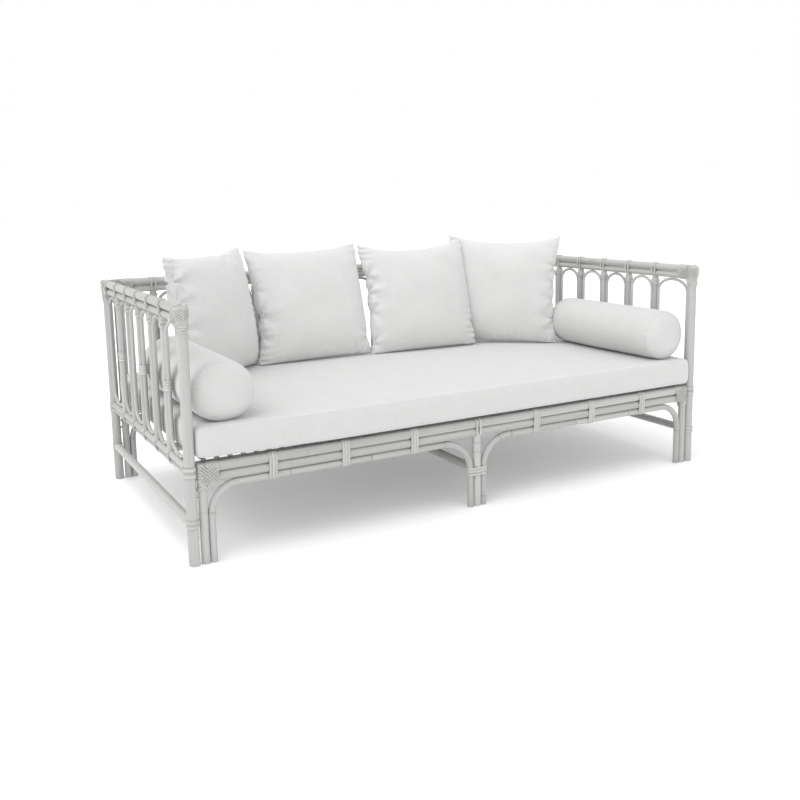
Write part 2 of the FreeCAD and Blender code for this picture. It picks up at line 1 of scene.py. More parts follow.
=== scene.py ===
"""Rattan daybed with a lath deck, a linen mattress, two bolsters and four scatter cushions.

Metres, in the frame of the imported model: X along the length, the open front at -Y, Z up.
"""
import math
import random

import bmesh
import bpy
from mathutils import Matrix, Vector, geometry, noise
from mathutils.bvhtree import BVHTree


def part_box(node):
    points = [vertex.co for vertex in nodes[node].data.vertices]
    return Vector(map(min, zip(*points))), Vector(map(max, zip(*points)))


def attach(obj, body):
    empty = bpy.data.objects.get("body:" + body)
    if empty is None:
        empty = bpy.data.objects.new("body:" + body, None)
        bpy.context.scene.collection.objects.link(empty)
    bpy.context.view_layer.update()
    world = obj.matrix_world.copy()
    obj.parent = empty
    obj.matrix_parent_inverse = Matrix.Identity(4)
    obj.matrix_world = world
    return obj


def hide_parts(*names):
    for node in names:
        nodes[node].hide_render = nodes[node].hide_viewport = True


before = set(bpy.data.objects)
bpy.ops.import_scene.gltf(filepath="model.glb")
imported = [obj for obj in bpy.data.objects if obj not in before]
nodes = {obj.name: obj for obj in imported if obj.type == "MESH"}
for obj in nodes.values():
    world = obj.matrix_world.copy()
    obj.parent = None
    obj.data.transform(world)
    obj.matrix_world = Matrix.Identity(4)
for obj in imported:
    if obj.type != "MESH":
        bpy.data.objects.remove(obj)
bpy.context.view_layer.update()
rng = random.Random(11)
noise.seed_set(11)           # without it the wander of the poles is seeded from the clock

X_AXIS = Vector((1, 0, 0))
Y_AXIS = Vector((0, 1, 0))
Z_AXIS = Vector((0, 0, 1))


# ---- Camera
# Stands left of the front, a little above the back rail, and looks slightly down along the seat.
# Heading, dip and roll are in degrees.

CAMERA_PLACE = (-1.675, -2.944, 1.053)
HEADING, DIP, ROLL = -27.93, 9.07, -1.26


def placed(name, data):
    """A new object in the scene, at the origin."""
    made = bpy.data.objects.new(name, data)
    bpy.context.scene.collection.objects.link(made)
    return made


camera = placed("camera", bpy.data.cameras.new("camera"))
camera.data.sensor_width = 36
camera.data.lens = 40.98
camera.data.shift_x = 0.029
camera.data.shift_y = -0.0773
camera.location = CAMERA_PLACE
camera.rotation_mode = "QUATERNION"
camera.rotation_quaternion = (
    Matrix.Rotation(math.radians(HEADING), 4, "Z")
    @ Matrix.Rotation(math.radians(90 - DIP), 4, "X")
    @ Matrix.Rotation(math.radians(ROLL), 4, "Z")
).to_quaternion()
bpy.context.scene.camera = camera


# ---- Floor and light
# A plain pale floor that runs out of sight, under a bright even sky. One wide soft lamp stands
# high on the left and shines towards the middle of the seat.

FLOOR_REACH = 40
LAMP_PLACE = Vector((-2.0, -0.6, 4.0))
LAMP_AIM = Vector((0, 0, 0.3))
LAMP_SPREAD = math.radians(50)


def finished(name, form):
    """The mesh of a form that is done."""
    mesh = bpy.data.meshes.new(name)
    form.to_mesh(mesh)
    form.free()
    return mesh


def dialled(node, settings):
    """Sets a node's sockets by name."""
    for socket, value in settings.items():
        node.inputs[socket].default_value = value


def shader_of(name, settings):
    """A new material, its node tree and its shader with sockets set."""
    material = bpy.data.materials.new(name)
    material.use_nodes = True
    shader = material.node_tree.nodes["Principled BSDF"]
    dialled(shader, settings)
    return material, material.node_tree, shader


floor_form = bmesh.new()
bmesh.ops.create_grid(floor_form, x_segments=1, y_segments=1, size=FLOOR_REACH)
floor = placed("floor", finished("floor", floor_form))
floor_paint = shader_of("floor_paint", {
    "Base Color": (0.93, 0.93, 0.93, 1), "Roughness": 0.9, "Specular IOR Level": 0.1,
    "Emission Color": (1, 1, 1, 1), "Emission Strength": 0.11})[0]
floor.data.materials.append(floor_paint)

sky = bpy.data.worlds.new("sky")
sky.use_nodes = True
dialled(sky.node_tree.nodes["Background"], {"Color": (1, 1, 1, 1), "Strength": 1.0})
bpy.context.scene.world = sky
bpy.context.scene.view_settings.view_transform = "Standard"

high_lamp = placed("high_lamp", bpy.data.lights.new("high_lamp", "SUN"))
high_lamp.data.angle = LAMP_SPREAD
high_lamp.data.energy = 1.1
high_lamp.location = LAMP_PLACE
high_lamp.rotation_mode = "QUATERNION"
high_lamp.rotation_quaternion = (LAMP_AIM - LAMP_PLACE).to_track_quat("-Z", "Y")


# ---- Whitewashed rattan
# The skin of every pole and cane: pale wash over fine lengthwise fibres, with a darker line at
# each growth joint. Poles are drawn as rings carried along their line.

BLOTCH_SHARE = 0.07          # blotches of wash are this much coarser than the fibres


def link(tree, source, target):
    tree.links.new(source, target)


def stretched(tree, vector, scale):
    """Coordinates multiplied along each axis."""
    mapping = tree.nodes.new("ShaderNodeMapping")
    mapping.inputs["Scale"].default_value = scale
    link(tree, vector, mapping.inputs["Vector"])
    return mapping.outputs["Vector"]


def mottle(tree, vector, detail=3.0, roughness=0.5):
    """Cloudy noise over the coordinates it is given."""
    texture = tree.nodes.new("ShaderNodeTexNoise")
    dialled(texture, {"Scale": 1.0, "Detail": detail, "Roughness": roughness})
    link(tree, vector, texture.inputs["Vector"])
    return texture.outputs["Fac"]


def ramp(tree, fac, stops):
    """Colours along a factor; stops are (place, colour)."""
    node = tree.nodes.new("ShaderNodeValToRGB")
    link(tree, fac, node.inputs["Fac"])
    while len(node.color_ramp.elements) < len(stops):
        node.color_ramp.elements.new(0.5)
    for element, (place, colour) in zip(node.color_ramp.elements, stops):
        element.position = place
        element.color = (*colour, 1)
    return node.outputs["Color"]


def mixed(tree, kind, share, first, second):
    """Two colours multiplied or added, by a share; the sockets are the node's colour ones."""
    node = tree.nodes.new("ShaderNodeMix")
    node.data_type = "RGBA"
    node.blend_type = kind
    node.inputs["Factor"].default_value = share
    link(tree, first, node.inputs[6])
    link(tree, second, node.inputs[7])
    return node.outputs[2]


def raised(tree, shader, height, strength, distance):
    """Relief in the surface of a material."""
    bump = tree.nodes.new("ShaderNodeBump")
    dialled(bump, {"Strength": strength, "Distance": distance})
    link(tree, height, bump.inputs["Height"])
    link(tree, bump.outputs["Normal"], shader.inputs["Normal"])


def rattan_finish(name, pale, dark, fibre, coordinates="grain"):
    """Whitewashed cane. The vector runs across, across and along the fibres."""
    material, tree, shader = shader_of(name, {"Roughness": 0.5, "Specular IOR Level": 0.35})
    if coordinates == "grain":
        source = tree.nodes.new("ShaderNodeAttribute")
        source.attribute_name = "grain"
        vector = source.outputs["Vector"]
    else:
        source = tree.nodes.new("ShaderNodeTexCoord")
        vector = source.outputs["Object"]
    fibres = mottle(tree, stretched(tree, vector, fibre), 4.0, 0.6)
    blotch = mottle(tree, stretched(tree, vector, tuple(f * BLOTCH_SHARE for f in fibre)), 2.0)
    wash = ramp(tree, blotch, [(0.3, dark), (0.72, pale)])
    streaks = ramp(tree, fibres, [(0.28, (0.78, 0.78, 0.77)), (0.5, (0.96, 0.96, 0.96)),
                                  (0.75, (1, 1, 1))])
    colour = mixed(tree, "MULTIPLY", 0.6, wash, streaks)
    if coordinates == "grain":
        # The joint marks darken the line at each growth joint, and on peel strands they also carry
        # painted shade along the narrow edges, for the shadowed gaps between strands.
        joint = tree.nodes.new("ShaderNodeAttribute")
        joint.attribute_name = "joint"
        line = ramp(tree, joint.outputs["Fac"], [(0.0, (1, 1, 1)), (0.55, (0.72, 0.70, 0.67)),
                                                 (1.0, (0.36, 0.34, 0.32))])
        colour = mixed(tree, "MULTIPLY", 1.0, colour, line)
    link(tree, colour, shader.inputs["Base Color"])
    raised(tree, shader, fibres, 0.15, 0.0005)
    return material


POLE_PALE = (0.565, 0.565, 0.555)
POLE_DARK = (0.405, 0.405, 0.395)
pole_wash = rattan_finish("whitewashed_pole", POLE_PALE, POLE_DARK, (420, 420, 9))
POLE_SIDES = 24
# A growth joint: places along the cane, the swelling there and how dark the line is.
JOINT_SHAPE = ((-0.006, 0.0, 0.0), (-0.003, 0.018, 0.1), (-0.0011, 0.026, 0.35), (0, -0.015, 1.0),
               (0.0011, 0.02, 0.35), (0.003, 0.008, 0.1), (0.006, 0.0, 0.0))
JOINT_ROOM = 0.008
FAINT = 0.3
EASED_RIM = ((0.0, 0.80), (0.25, 0.91), (1.0, 1.0))      # share of the easing, share of the radius
RING_SPACING = 0.045
END_ROOM = 0.003
SIGHT = 0.002
GROWTH_ROOM = 0.04           # no growth joint so close to the far end
GRAIN_STEP = 3.71            # each length takes its grain from further along
SHARP_EDGE = 0.8
lengths_cut = [0]


def reach_of(route):
    """Length of a row of points."""
    return sum((b - a).length for a, b in zip(route, route[1:]))


def along(route, distance):
    """Point at a distance along a row of points."""
    for first, second in zip(route, route[1:]):
        run = (second - first).length
        if distance <= run:
            return first.lerp(second, distance / run)
        distance -= run
    return route[-1].copy()


def swept(stations, sides, marks=None, closed=False, edge=0.0):
    """Mesh of a ring carried through a row of stations, each a matrix; marks go to "joint".

    edge is painted shade added to the joint marks along both narrow edges of a flat strand, standing in
    for the shadow in the gaps between strands.
    """
    marks = marks or [0.0] * len(stations)
    lengths_cut[0] += 1
    form = bmesh.new()
    grain = form.verts.layers.float_vector.new("grain")
    joint = form.verts.layers.float.new("joint")
    verts = bmesh.ops.create_circle(form, segments=sides, radius=1)["verts"]
    width, depth = stations[0].col[0].length, stations[0].col[1].length
    travelled = lengths_cut[0] * GRAIN_STEP
    # The edge term adds painted shade to the joint marks along the strand's narrow edges.
    for vert in verts:
        vert[grain] = (vert.co.x * width + lengths_cut[0] % 7, vert.co.y * depth, travelled)
        vert[joint] = marks[0] + edge * abs(vert.co.x) ** 6
    bmesh.ops.transform(form, matrix=stations[0], verts=verts)
    edges = list(form.edges)
    first_edges = edges
    for before, here, mark in zip(stations, stations[1:], marks[1:]):
        made = bmesh.ops.extrude_edge_only(form, edges=edges)["geom"]
        verts = [item for item in made if isinstance(item, bmesh.types.BMVert)]
        fresh = set(verts)
        edges = [item for item in made if isinstance(item, bmesh.types.BMEdge)
                 and item.verts[0] in fresh and item.verts[1] in fresh]
        bmesh.ops.transform(form, matrix=here @ before.inverted(), verts=verts)
        travelled += (here.translation - before.translation).length
        flat = here.inverted()
        for vert in verts:
            vert[grain].z = travelled
            vert[joint] = mark + edge * abs((flat @ vert.co).x) ** 6
    if closed:
        bmesh.ops.bridge_loops(form, edges=first_edges + edges)
    else:
        bmesh.ops.contextual_create(form, geom=first_edges)
        bmesh.ops.contextual_create(form, geom=edges)
    bmesh.ops.recalc_face_normals(form, faces=form.faces)
    return finished("length", form)


def station(place, across, outward, forward, half_width, half_depth):
    """Where one ring stands: its middle, its three directions and its half sizes."""
    return Matrix((
        (across.x * half_width, outward.x * half_depth, forward.x, place.x),
        (across.y * half_width, outward.y * half_depth, forward.y, place.y),
        (across.z * half_width, outward.z * half_depth, forward.z, place.z),
        (0, 0, 0, 1)))


def pole(route, diameter, joints=(), eased=0.0, sides=POLE_SIDES, wander=0.0004, plain=FAINT):
    """One length of cane along a row of points, swollen at its growth joints.

    joints are distances from the start, and plain is how strongly they show; eased is the
    rounding of both cut ends.
    """
    total = reach_of(route)
    wanted = {0.0: (1.0, 0.0), total: (1.0, 0.0)}
    walked = 0.0
    for a, b in zip(route, route[1:]):
        run = (b - a).length
        count = max(1, round(run / RING_SPACING))
        for step in range(count):
            wanted[walked + run * step / count] = (1.0, 0.0)
        walked += run
    for middle in joints:
        wanted = {s: value for s, value in wanted.items()
                  if abs(s - middle) > JOINT_ROOM or s in (0, total)}
        for shift, swell, mark in JOINT_SHAPE:
            if END_ROOM < middle + shift < total - END_ROOM:
                wanted[middle + shift] = (1 + swell * plain, mark * plain)
    if eased:
        for near, shrink in EASED_RIM:
            wanted[near * eased] = (shrink, 0.0)
            wanted[total - near * eased] = (shrink, 0.0)
    seed = Vector((lengths_cut[0] * 1.37, 4.1, 0.3))
    across = None
    stations, marks = [], []
    for s in sorted(wanted):
        place = along(route, s)
        ahead = along(route, min(total, s + SIGHT)) - along(route, max(0.0, s - SIGHT))
        ahead.normalize()
        if across is None:
            across = ahead.orthogonal().normalized()
        across = (across - ahead * across.dot(ahead)).normalized()
        swell, mark = wanted[s]
        radius = diameter / 2 * swell * (1 + 0.012 * noise.noise(seed + ahead * s * 9))
        place = place + noise.noise_vector(seed + ahead * s * 3) * wander
        stations.append(station(place, across, ahead.cross(across), ahead, radius, radius))
        marks.append(mark)
    return swept(stations, sides, marks)


def piece(name, lengths, material, replaced=(), body="frame"):
    """Joins the made lengths into one named piece that rides on its body."""
    whole = bmesh.new()
    whole.verts.layers.float_vector.new("grain")
    whole.verts.layers.float.new("joint")
    for mesh in lengths:
        whole.from_mesh(mesh)
        bpy.data.meshes.remove(mesh)
    mesh = finished(name, whole)
    mesh.polygons.foreach_set("use_smooth", [True] * len(mesh.polygons))
    mesh.set_sharp_from_angle(angle=SHARP_EDGE)
    mesh.materials.append(material)
    made = placed(name, mesh)
    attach(made, body)
    if replaced:
        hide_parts(*replaced)


def poles(name, lengths, replaced):
    """A piece of whitewashed poles or canes that stands for one node of the frame."""
    piece(name, lengths, pole_wash, [replaced])


def growth(total, spacing):
    """Distances of the growth joints along a length of cane."""
    places, at = [], rng.uniform(0.4, 0.9) * spacing
    while at < total - GROWTH_ROOM:
        places.append(at)
        at += spacing * rng.uniform(0.8, 1.25)
    return places


def straight(start, end, diameter, spacing, eased=0.0):
    """A straight pole, with growth joints about one spacing apart."""
    route = [Vector(start), Vector(end)]
    return pole(route, diameter, growth(reach_of(route), spacing), eased)


# ---- Arm posts
# Four thick rattan posts that carry the arm frames. They are cut square, their rims are eased
# and they stand on the floor.

post_low, post_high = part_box("right_back_post")
POST_X = (post_low.x + post_high.x) / 2
POST_Y = (post_low.y + post_high.y) / 2
POST_R = (post_high.x - post_low.x) / 2
POST_TOP = post_high.z
CROWN = 0.008                # the plaited cap rounds off the last of each post
POST_GROWTH = 0.42
POST_EASE = 0.003
SIDES = (("left", -1), ("right", 1))
ENDS = (("front", -1), ("back", 1))

for side, sx in SIDES:
    for end, sy in ENDS:
        foot = Vector((sx * POST_X, sy * POST_Y, 0))
        head = foot + Z_AXIS * (POST_TOP - CROWN)
        post = straight(foot, head, POST_R * 2, POST_GROWTH, POST_EASE)
        poles(f"{side}_{end}_arm_post", [post], f"{side}_{end}_post")


# ---- Arm rails and stretchers
# Rattan rails between the posts of each arm: a pair on top, a pair at the seat and a stretcher
# near the floor. Their ends are coped to the posts, under the wraps.

ARM_GROWTH = 0.40


def rail_facts(node):
    """Middle height and diameter of a level rail."""
    low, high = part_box(node)
    return (low.z + high.z) / 2, high.z - low.z


ARM_RAILS = {name: rail_facts(f"left_{name}")
             for name in ("top_rail", "second_rail", "seat_rail", "lower_rail", "stretcher")}
for side, sx in SIDES:
    for name, (z, diameter) in ARM_RAILS.items():
        rail = straight((sx * POST_X, -POST_Y, z), (sx * POST_X, POST_Y, z), diameter, ARM_GROWTH)
        poles(f"{side}_arm_{name}", [rail], f"{side}_{name}")


# ---- Long rails, end posts and middle posts
# The front and back frames: two apron rails each, and on the back the same pair of top rails as
# on the arms, held between end posts that are bolted to the arm posts.

end_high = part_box("back_end_posts")[1]
END_R = 0.013
END_X = end_high.x - END_R
BACK_TOP = end_high.z
FRONT_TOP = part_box("front_end_posts")[1].z
middle_low, middle_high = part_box("front_middle_post")
MIDDLE_R = (middle_high.x - middle_low.x) / 2
END_GROWTH = 0.36
LONG_GROWTH = 0.55
MIDDLE_JOINTS = (0.19, 0.221)
LONG_RAILS = {name: rail_facts(f"back_{name}")
              for name in ("apron_upper_rail", "apron_lower_rail", "top_rail", "second_rail")}

for end, sy in ENDS:
    y = sy * POST_Y
    top = FRONT_TOP if sy < 0 else BACK_TOP
    posts = [straight((sx * END_X, y, 0), (sx * END_X, y, top), END_R * 2, END_GROWTH, POST_EASE)
             for _, sx in SIDES]
    poles(f"{end}_end_poles", posts, f"{end}_end_posts")
    for name, (z, diameter) in LONG_RAILS.items():
        if sy < 0 and "apron" not in name:
            continue
        rail = straight((-END_X, y, z), (END_X, y, z), diameter, LONG_GROWTH)
        poles(f"{end}_long_{name}", [rail], f"{end}_{name}")
    z = LONG_RAILS["apron_lower_rail"][0]
    middle_pole = pole([Vector((0, y, 0)), Vector((0, y, z))], MIDDLE_R * 2, MIDDLE_JOINTS,
                       POST_EASE, plain=0.7)
    poles(f"{end}_middle_pole", [middle_pole], f"{end}_middle_post")

z, diameter = ARM_RAILS["stretcher"]
poles("middle_brace", [straight((0, -POST_Y, z), (0, POST_Y, z), diameter, ARM_GROWTH)],
      "middle_stretcher")


# ---- Spindles
# Upright rattan spindles between the seat rail and the second rail, five on each arm and
# thirteen along the back.

SPINDLE_R = 0.012
SPINDLE_GROWTH = 0.30
ARM_PITCH = 0.147
ARM_SPINDLES = [count * ARM_PITCH for count in (-2, -1, 0, 1, 2)]
BACK_SPINDLES = [count * END_X / 7 for count in range(-6, 7)]
SECOND_Z = ARM_RAILS["second_rail"][0]
SEAT_Z = ARM_RAILS["seat_rail"][0]


def spindle(x, y):
    return straight((x, y, SEAT_Z), (x, y, SECOND_Z), SPINDLE_R * 2, SPINDLE_GROWTH)


for side, sx in SIDES:
    poles(f"{side}_arm_spindles", [spindle(sx * POST_X, y) for y in ARM_SPINDLES], f"{side}_spindles")
poles("back_row_spindles", [spindle(x, POST_Y) for x in BACK_SPINDLES], "back_spindles")


# ---- Loops
# Thin canes steamed into long closed loops, one in each gap between two uprights, with an arched
# head and foot.

LOOP_R = 0.0055
LOOP_RISE = 0.046
POLE_FIT = 0.0003             # play between poles that lie side by side
LOOP_GROWTH = 0.40
LOOP_OPEN = 2                # degrees left open on each side of the foot, where the ends butt
seat_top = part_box("left_seat_rail")[1].z
under_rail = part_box("left_second_rail")[0].z


def arch(hub, side_axis, reach, rise, start, end, steps=14):
    """Points on an arch that swings from one angle to another over its hub."""
    points = []
    for step in range(steps + 1):
        turn = math.radians(start + (end - start) * step / steps)
        points.append(hub + side_axis * (reach * math.cos(turn)) + Z_AXIS * (rise * math.sin(turn)))
    return points


def loop(centre, side_axis, half_gap):
    """One loop that fills the gap round its centre."""
    reach = half_gap - POLE_FIT - LOOP_R
    low = centre + Z_AXIS * (seat_top + POLE_FIT + LOOP_R + LOOP_RISE)
    high = centre + Z_AXIS * (under_rail - POLE_FIT - LOOP_R - LOOP_RISE)
    route = arch(low, side_axis, reach, LOOP_RISE, LOOP_OPEN - 90, 0)
    route += arch(high, side_axis, reach, LOOP_RISE, 0, 180, 28)
    route += arch(low, side_axis, reach, LOOP_RISE, 180, 270 - LOOP_OPEN)
    return pole(route, LOOP_R * 2, growth(reach_of(route), LOOP_GROWTH), sides=16, wander=0.0003)


def gap_middles(uprights):
    """Middle and half width of each gap in a row of (place, radius) uprights."""
    return [((a + ra + b - rb) / 2, (b - rb - a - ra) / 2)
            for (a, ra), (b, rb) in zip(uprights, uprights[1:])]


for side, sx in SIDES:
    uprights = [(-POST_Y, POST_R)] + [(y, SPINDLE_R) for y in ARM_SPINDLES] + [(POST_Y, POST_R)]
    row = [loop(Vector((sx * POST_X, y, 0)), Y_AXIS, half) for y, half in gap_middles(uprights)]
    poles(f"{side}_arm_loops", row, f"{side}_loops")
uprights = [(-END_X, END_R)] + [(x, SPINDLE_R) for x in BACK_SPINDLES] + [(END_X, END_R)]
row = [loop(Vector((x, POST_Y, 0)), X_AXIS, half) for x, half in gap_middles(uprights)]
poles("back_row_loops", row, "back_loops")


# ---- Bent canes
# Canes that rise beside the legs, turn under the apron and run along it as a third rail, butted
# end to end where two meet.

BENT_R = 0.011
canes_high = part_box("front_bent_canes")[1]
BENT_Z = canes_high.z - BENT_R
END_LEG_X = canes_high.x - BENT_R
MIDDLE_LEG_X = MIDDLE_R + POLE_FIT + BENT_R
END_BEND = 0.085
MIDDLE_BEND = 0.105
LEFT_BUTT = -0.400
RIGHT_BUTTS = (0.140, 0.420)
BUTT_GAP = 0.0006
BUTT_EASE = 0.0015


def bent(leg_x, run_end, bend, y, joints):
    """A cane up a leg, round the bend and along the apron; joints count from the floor."""
    turn = math.copysign(1, run_end - leg_x)
    hub = Vector((leg_x + turn * bend, y, BENT_Z - bend))
    route = [Vector((leg_x, y, 0))]
    route += arch(hub, X_AXIS * -turn, bend, bend, 0, 90, 18)
    route.append(Vector((run_end, y, BENT_Z)))
    return pole(route, BENT_R * 2, joints, BUTT_EASE, plain=0.8)


for end, sy in ENDS:
    y = sy * POST_Y
    first, second = RIGHT_BUTTS
    canes = [
        bent(-END_LEG_X, LEFT_BUTT - BUTT_GAP, END_BEND, y, (0.150, 0.44)),
        bent(-MIDDLE_LEG_X, LEFT_BUTT + BUTT_GAP, MIDDLE_BEND, y, (0.29,)),
        bent(MIDDLE_LEG_X, first - BUTT_GAP, MIDDLE_BEND, y, (0.031, 0.25)),
        pole([Vector((first + BUTT_GAP, y, BENT_Z)), Vector((second - BUTT_GAP, y, BENT_Z))],
             BENT_R * 2, (0.15,), BUTT_EASE),
        bent(END_LEG_X, second + BUTT_GAP, END_BEND, y, (0.130, 0.45)),
    ]
    poles(f"{end}_run_canes", canes, f"{end}_bent_canes")


# ---- Peel bindings over the rails
# Flat strands of leather peel, wound tight round the rails on both sides of each spindle and in
# threes round the apron.

peel_wash = rattan_finish("whitewashed_peel", (0.60, 0.60, 0.59), (0.47, 0.47, 0.46),
                          (900, 900, 30))
STRAND_W = 0.0095
STRAND_T = 0.0024
STRAND_SIDES = 10
# Painted shade: how dark the narrow edges of each peel strand are made, for the shadowed gaps between
# strands.
STRAND_EDGE_SHADE = 0.8
NESTLE = 0.42                # share of a strand's thickness that stands off its pole
BELT_SPACING = 0.004
THREE_PITCH = STRAND_W * 0.98
TOP_SPREAD, SEAT_SPREAD, APRON_SPREAD = 0.0078, 0.0070, 0.0072
PAIR_SKEW, APRON_SKEW = 0.0006, 0.0022
LEG_BAND_Z = 0.123
LEG_BAND_PITCH = 0.0098


def belt_line(circles, lift):
    """Even points, each with its outward normal, of a belt tight round circles (u, v, radius)."""
    rim = []
    for u, v, radius in circles:
        for step in range(72):
            turn = math.radians(step * 5)
            rim.append(Vector((u + (radius + lift) * math.cos(turn),
                               v + (radius + lift) * math.sin(turn))))
    hull = [rim[index] for index in geometry.convex_hull_2d(rim)]
    hull.append(hull[0])
    total = reach_of(hull)
    count = max(12, round(total / BELT_SPACING))
    points = [along(hull, total * step / count) for step in range(count)]
    area = sum(a.x * b.y - b.x * a.y for a, b in zip(points, points[1:] + points[:1]))
    turn = 1 if area > 0 else -1
    line = []
    for index, point in enumerate(points):
        ahead = points[(index + 1) % count] - points[index - 1]
        line.append((point, Vector((ahead.y, -ahead.x)).normalized() * turn))
    return line


def strand(circles, origin, u_axis, v_axis, shift=0.0, skew=0.0, width=STRAND_W, depth=STRAND_T,
           lift=0.0):
    """One closed turn of peel round poles whose circles lie on u_axis and v_axis.

    shift moves it along the poles, and skew moves its two faces apart along them.
    """
    along_poles = u_axis.cross(v_axis)
    line = belt_line(circles, depth * NESTLE + lift)
    seed = Vector((lengths_cut[0] * 0.73, 1.7, 9.2))
    stations = []
    for index, (point, normal) in enumerate(line):
        outward = u_axis * normal.x + v_axis * normal.y
        ahead = line[(index + 1) % len(line)][0] - line[index - 1][0]
        forward = (u_axis * ahead.x + v_axis * ahead.y).normalized()
        uneven = noise.noise(seed + Vector((point.x, point.y, 0)) * 30)
        place = origin + u_axis * point.x + v_axis * point.y + outward * (0.0002 * uneven)
        place += along_poles * (shift + skew * normal.x + 0.0004 * uneven)
        half = width / 2 * (1 + 0.06 * uneven)
        stations.append(station(place, forward.cross(outward), outward, forward, half, depth / 2))
    return swept(stations, STRAND_SIDES, closed=True, edge=STRAND_EDGE_SHADE)


def rail_circles(rails, *names):
    return [(0, rails[name][0], rails[name][1] / 2) for name in names]


TOP_PAIR = rail_circles(ARM_RAILS, "top_rail", "second_rail")
SEAT_PAIR = rail_circles(ARM_RAILS, "seat_rail", "lower_rail")
APRON_PAIR = rail_circles(LONG_RAILS, "apron_upper_rail", "apron_lower_rail")
APRON_THREE = APRON_PAIR + [(0, BENT_Z, BENT_R)]


def pair_of_strands(circles, origin, across, spread):
    """Two turns that pass on both sides of an upright, with a dark gap between them."""
    return [strand(circles, origin, across, Z_AXIS, sign * spread, rng.uniform(-1, 1) * PAIR_SKEW)
            for sign in (-1, 1)]


def three_strands(circles, origin, across):
    """Three turns side by side."""
    return [strand(circles, origin, across, Z_AXIS, count * THREE_PITCH, APRON_SKEW)
            for count in (-1, 0, 1)]


def bindings(name, turns, replaced):
    """A piece of peel that stands for one node of the frame."""
    piece(name, turns, peel_wash, [replaced])


for side, sx in SIDES:
    turns = []
    for y in ARM_SPINDLES:
        origin = Vector((sx * POST_X, y, 0))
        turns += pair_of_strands(TOP_PAIR, origin, X_AXIS, TOP_SPREAD)
        turns += pair_of_strands(SEAT_PAIR, origin, X_AXIS, SEAT_SPREAD)
    bindings(f"{side}_rail_strands", turns, f"{side}_rail_bands")
turns = []
for x in BACK_SPINDLES:
    turns += pair_of_strands(TOP_PAIR, Vector((x, POST_Y, 0)), Y_AXIS, TOP_SPREAD)
bindings("back_rail_strands", turns, "back_rail_bands")

FRONT_BANDS = (0.245, 0.490, 0.730)
BACK_BANDS = tuple(count * END_X / 7 for count in (2, 4, 6))
for end, sy in ENDS:
    turns = []
    for x in FRONT_BANDS if sy < 0 else BACK_BANDS:
        for sx in (-1, 1):
            turns += three_strands(APRON_THREE, Vector((sx * x, sy * POST_Y, 0)), Y_AXIS)
    turns += pair_of_strands(APRON_PAIR, Vector((0, sy * POST_Y, 0)), Y_AXIS, APRON_SPREAD)
    legs = [(-MIDDLE_LEG_X, 0, BENT_R), (0, 0, MIDDLE_R), (MIDDLE_LEG_X, 0, BENT_R)]
    for count in (-1, 0, 1):
        turns.append(strand(legs, Vector((0, sy * POST_Y, LEG_BAND_Z)), X_AXIS, Y_AXIS,
                            count * LEG_BAND_PITCH, count * 0.0004))
    bindings(f"{end}_apron_strands", turns, f"{end}_apron_bands")


# ---- Wraps on the spindles
# Under the second rail each spindle has a crossed knot between two plain turns, and on every
# other spindle a wrap half way up binds it to the loop legs beside it.

KNOT_TILT = 0.0075
KNOT_DROP = 0.021
CROSS_W, CROSS_T = 0.0065, 0.002
CROSS_STEPS = 30
COLLAR_PITCH, COLLAR_W, COLLAR_T = 0.0085, 0.0092, 0.0016
WAIST_PITCH, WAIST_W, WAIST_T = 0.0082, 0.0085, 0.002


def ring(foot, z, radius, width, depth, lift=0.0):
    """One level turn round an upright."""
    return strand([(0, 0, radius)], foot + Z_AXIS * z, X_AXIS, Y_AXIS, width=width, depth=depth,
                  lift=lift)


def tilted_ring(foot, z, radius, facing, tilt, lift, width=CROSS_W):
    """A turn that climbs from one side of an upright to the other, crossing at its facing side."""
    across = Z_AXIS.cross(facing)
    stations = []
    for step in range(CROSS_STEPS):
        turn = 2 * math.pi * step / CROSS_STEPS
        outward = facing * math.cos(turn) + across * math.sin(turn)
        slope = tilt * math.cos(turn) / radius
        forward = (across * math.cos(turn) - facing * math.sin(turn) + Z_AXIS * slope).normalized()
        place = foot + outward * (radius + lift + CROSS_T / 2) + Z_AXIS * (z + tilt * math.sin(turn))
        stations.append(station(place, forward.cross(outward), outward, forward, width / 2,
                                CROSS_T / 2))
    return swept(stations, STRAND_SIDES, closed=True)


def knot(foot, facing):
    """Crossed turns over a padded collar, under the second rail."""
    turns = [ring(foot, KNOT_Z + count * COLLAR_PITCH, SPINDLE_R, COLLAR_W, COLLAR_T)
             for count in (-1, 0, 1)]
    turns.append(tilted_ring(foot, KNOT_Z, SPINDLE_R, facing, KNOT_TILT, 0.0016))
    turns.append(tilted_ring(foot, KNOT_Z, SPINDLE_R, facing, -KNOT_TILT, 0.0022))
    return turns


def waist_wrap(foot, side_axis):
    """Turns round a spindle and the loop leg on each side of it."""
    leg = SPINDLE_R + POLE_FIT + LOOP_R
    circles = [(-leg, 0, LOOP_R), (0, 0, SPINDLE_R), (leg, 0, LOOP_R)]
    return [strand(circles, foot + Z_AXIS * (WAIST_Z + count * WAIST_PITCH), side_axis,
                   Z_AXIS.cross(side_axis), width=WAIST_W, depth=WAIST_T)
            for count in (-1.5, -0.5, 0.5, 1.5)]


KNOT_Z = under_rail - KNOT_DROP
WAIST_Z = 0.500


def wrapped_row(feet, facing, side_axis):
    """Every spindle of a row has a knot, and every other one a waist wrap."""
    turns = []
    for index, foot in enumerate(feet):
        turns += knot(foot, facing)
        if index % 2 == 0:
            turns += waist_wrap(foot, side_axis)
    return turns


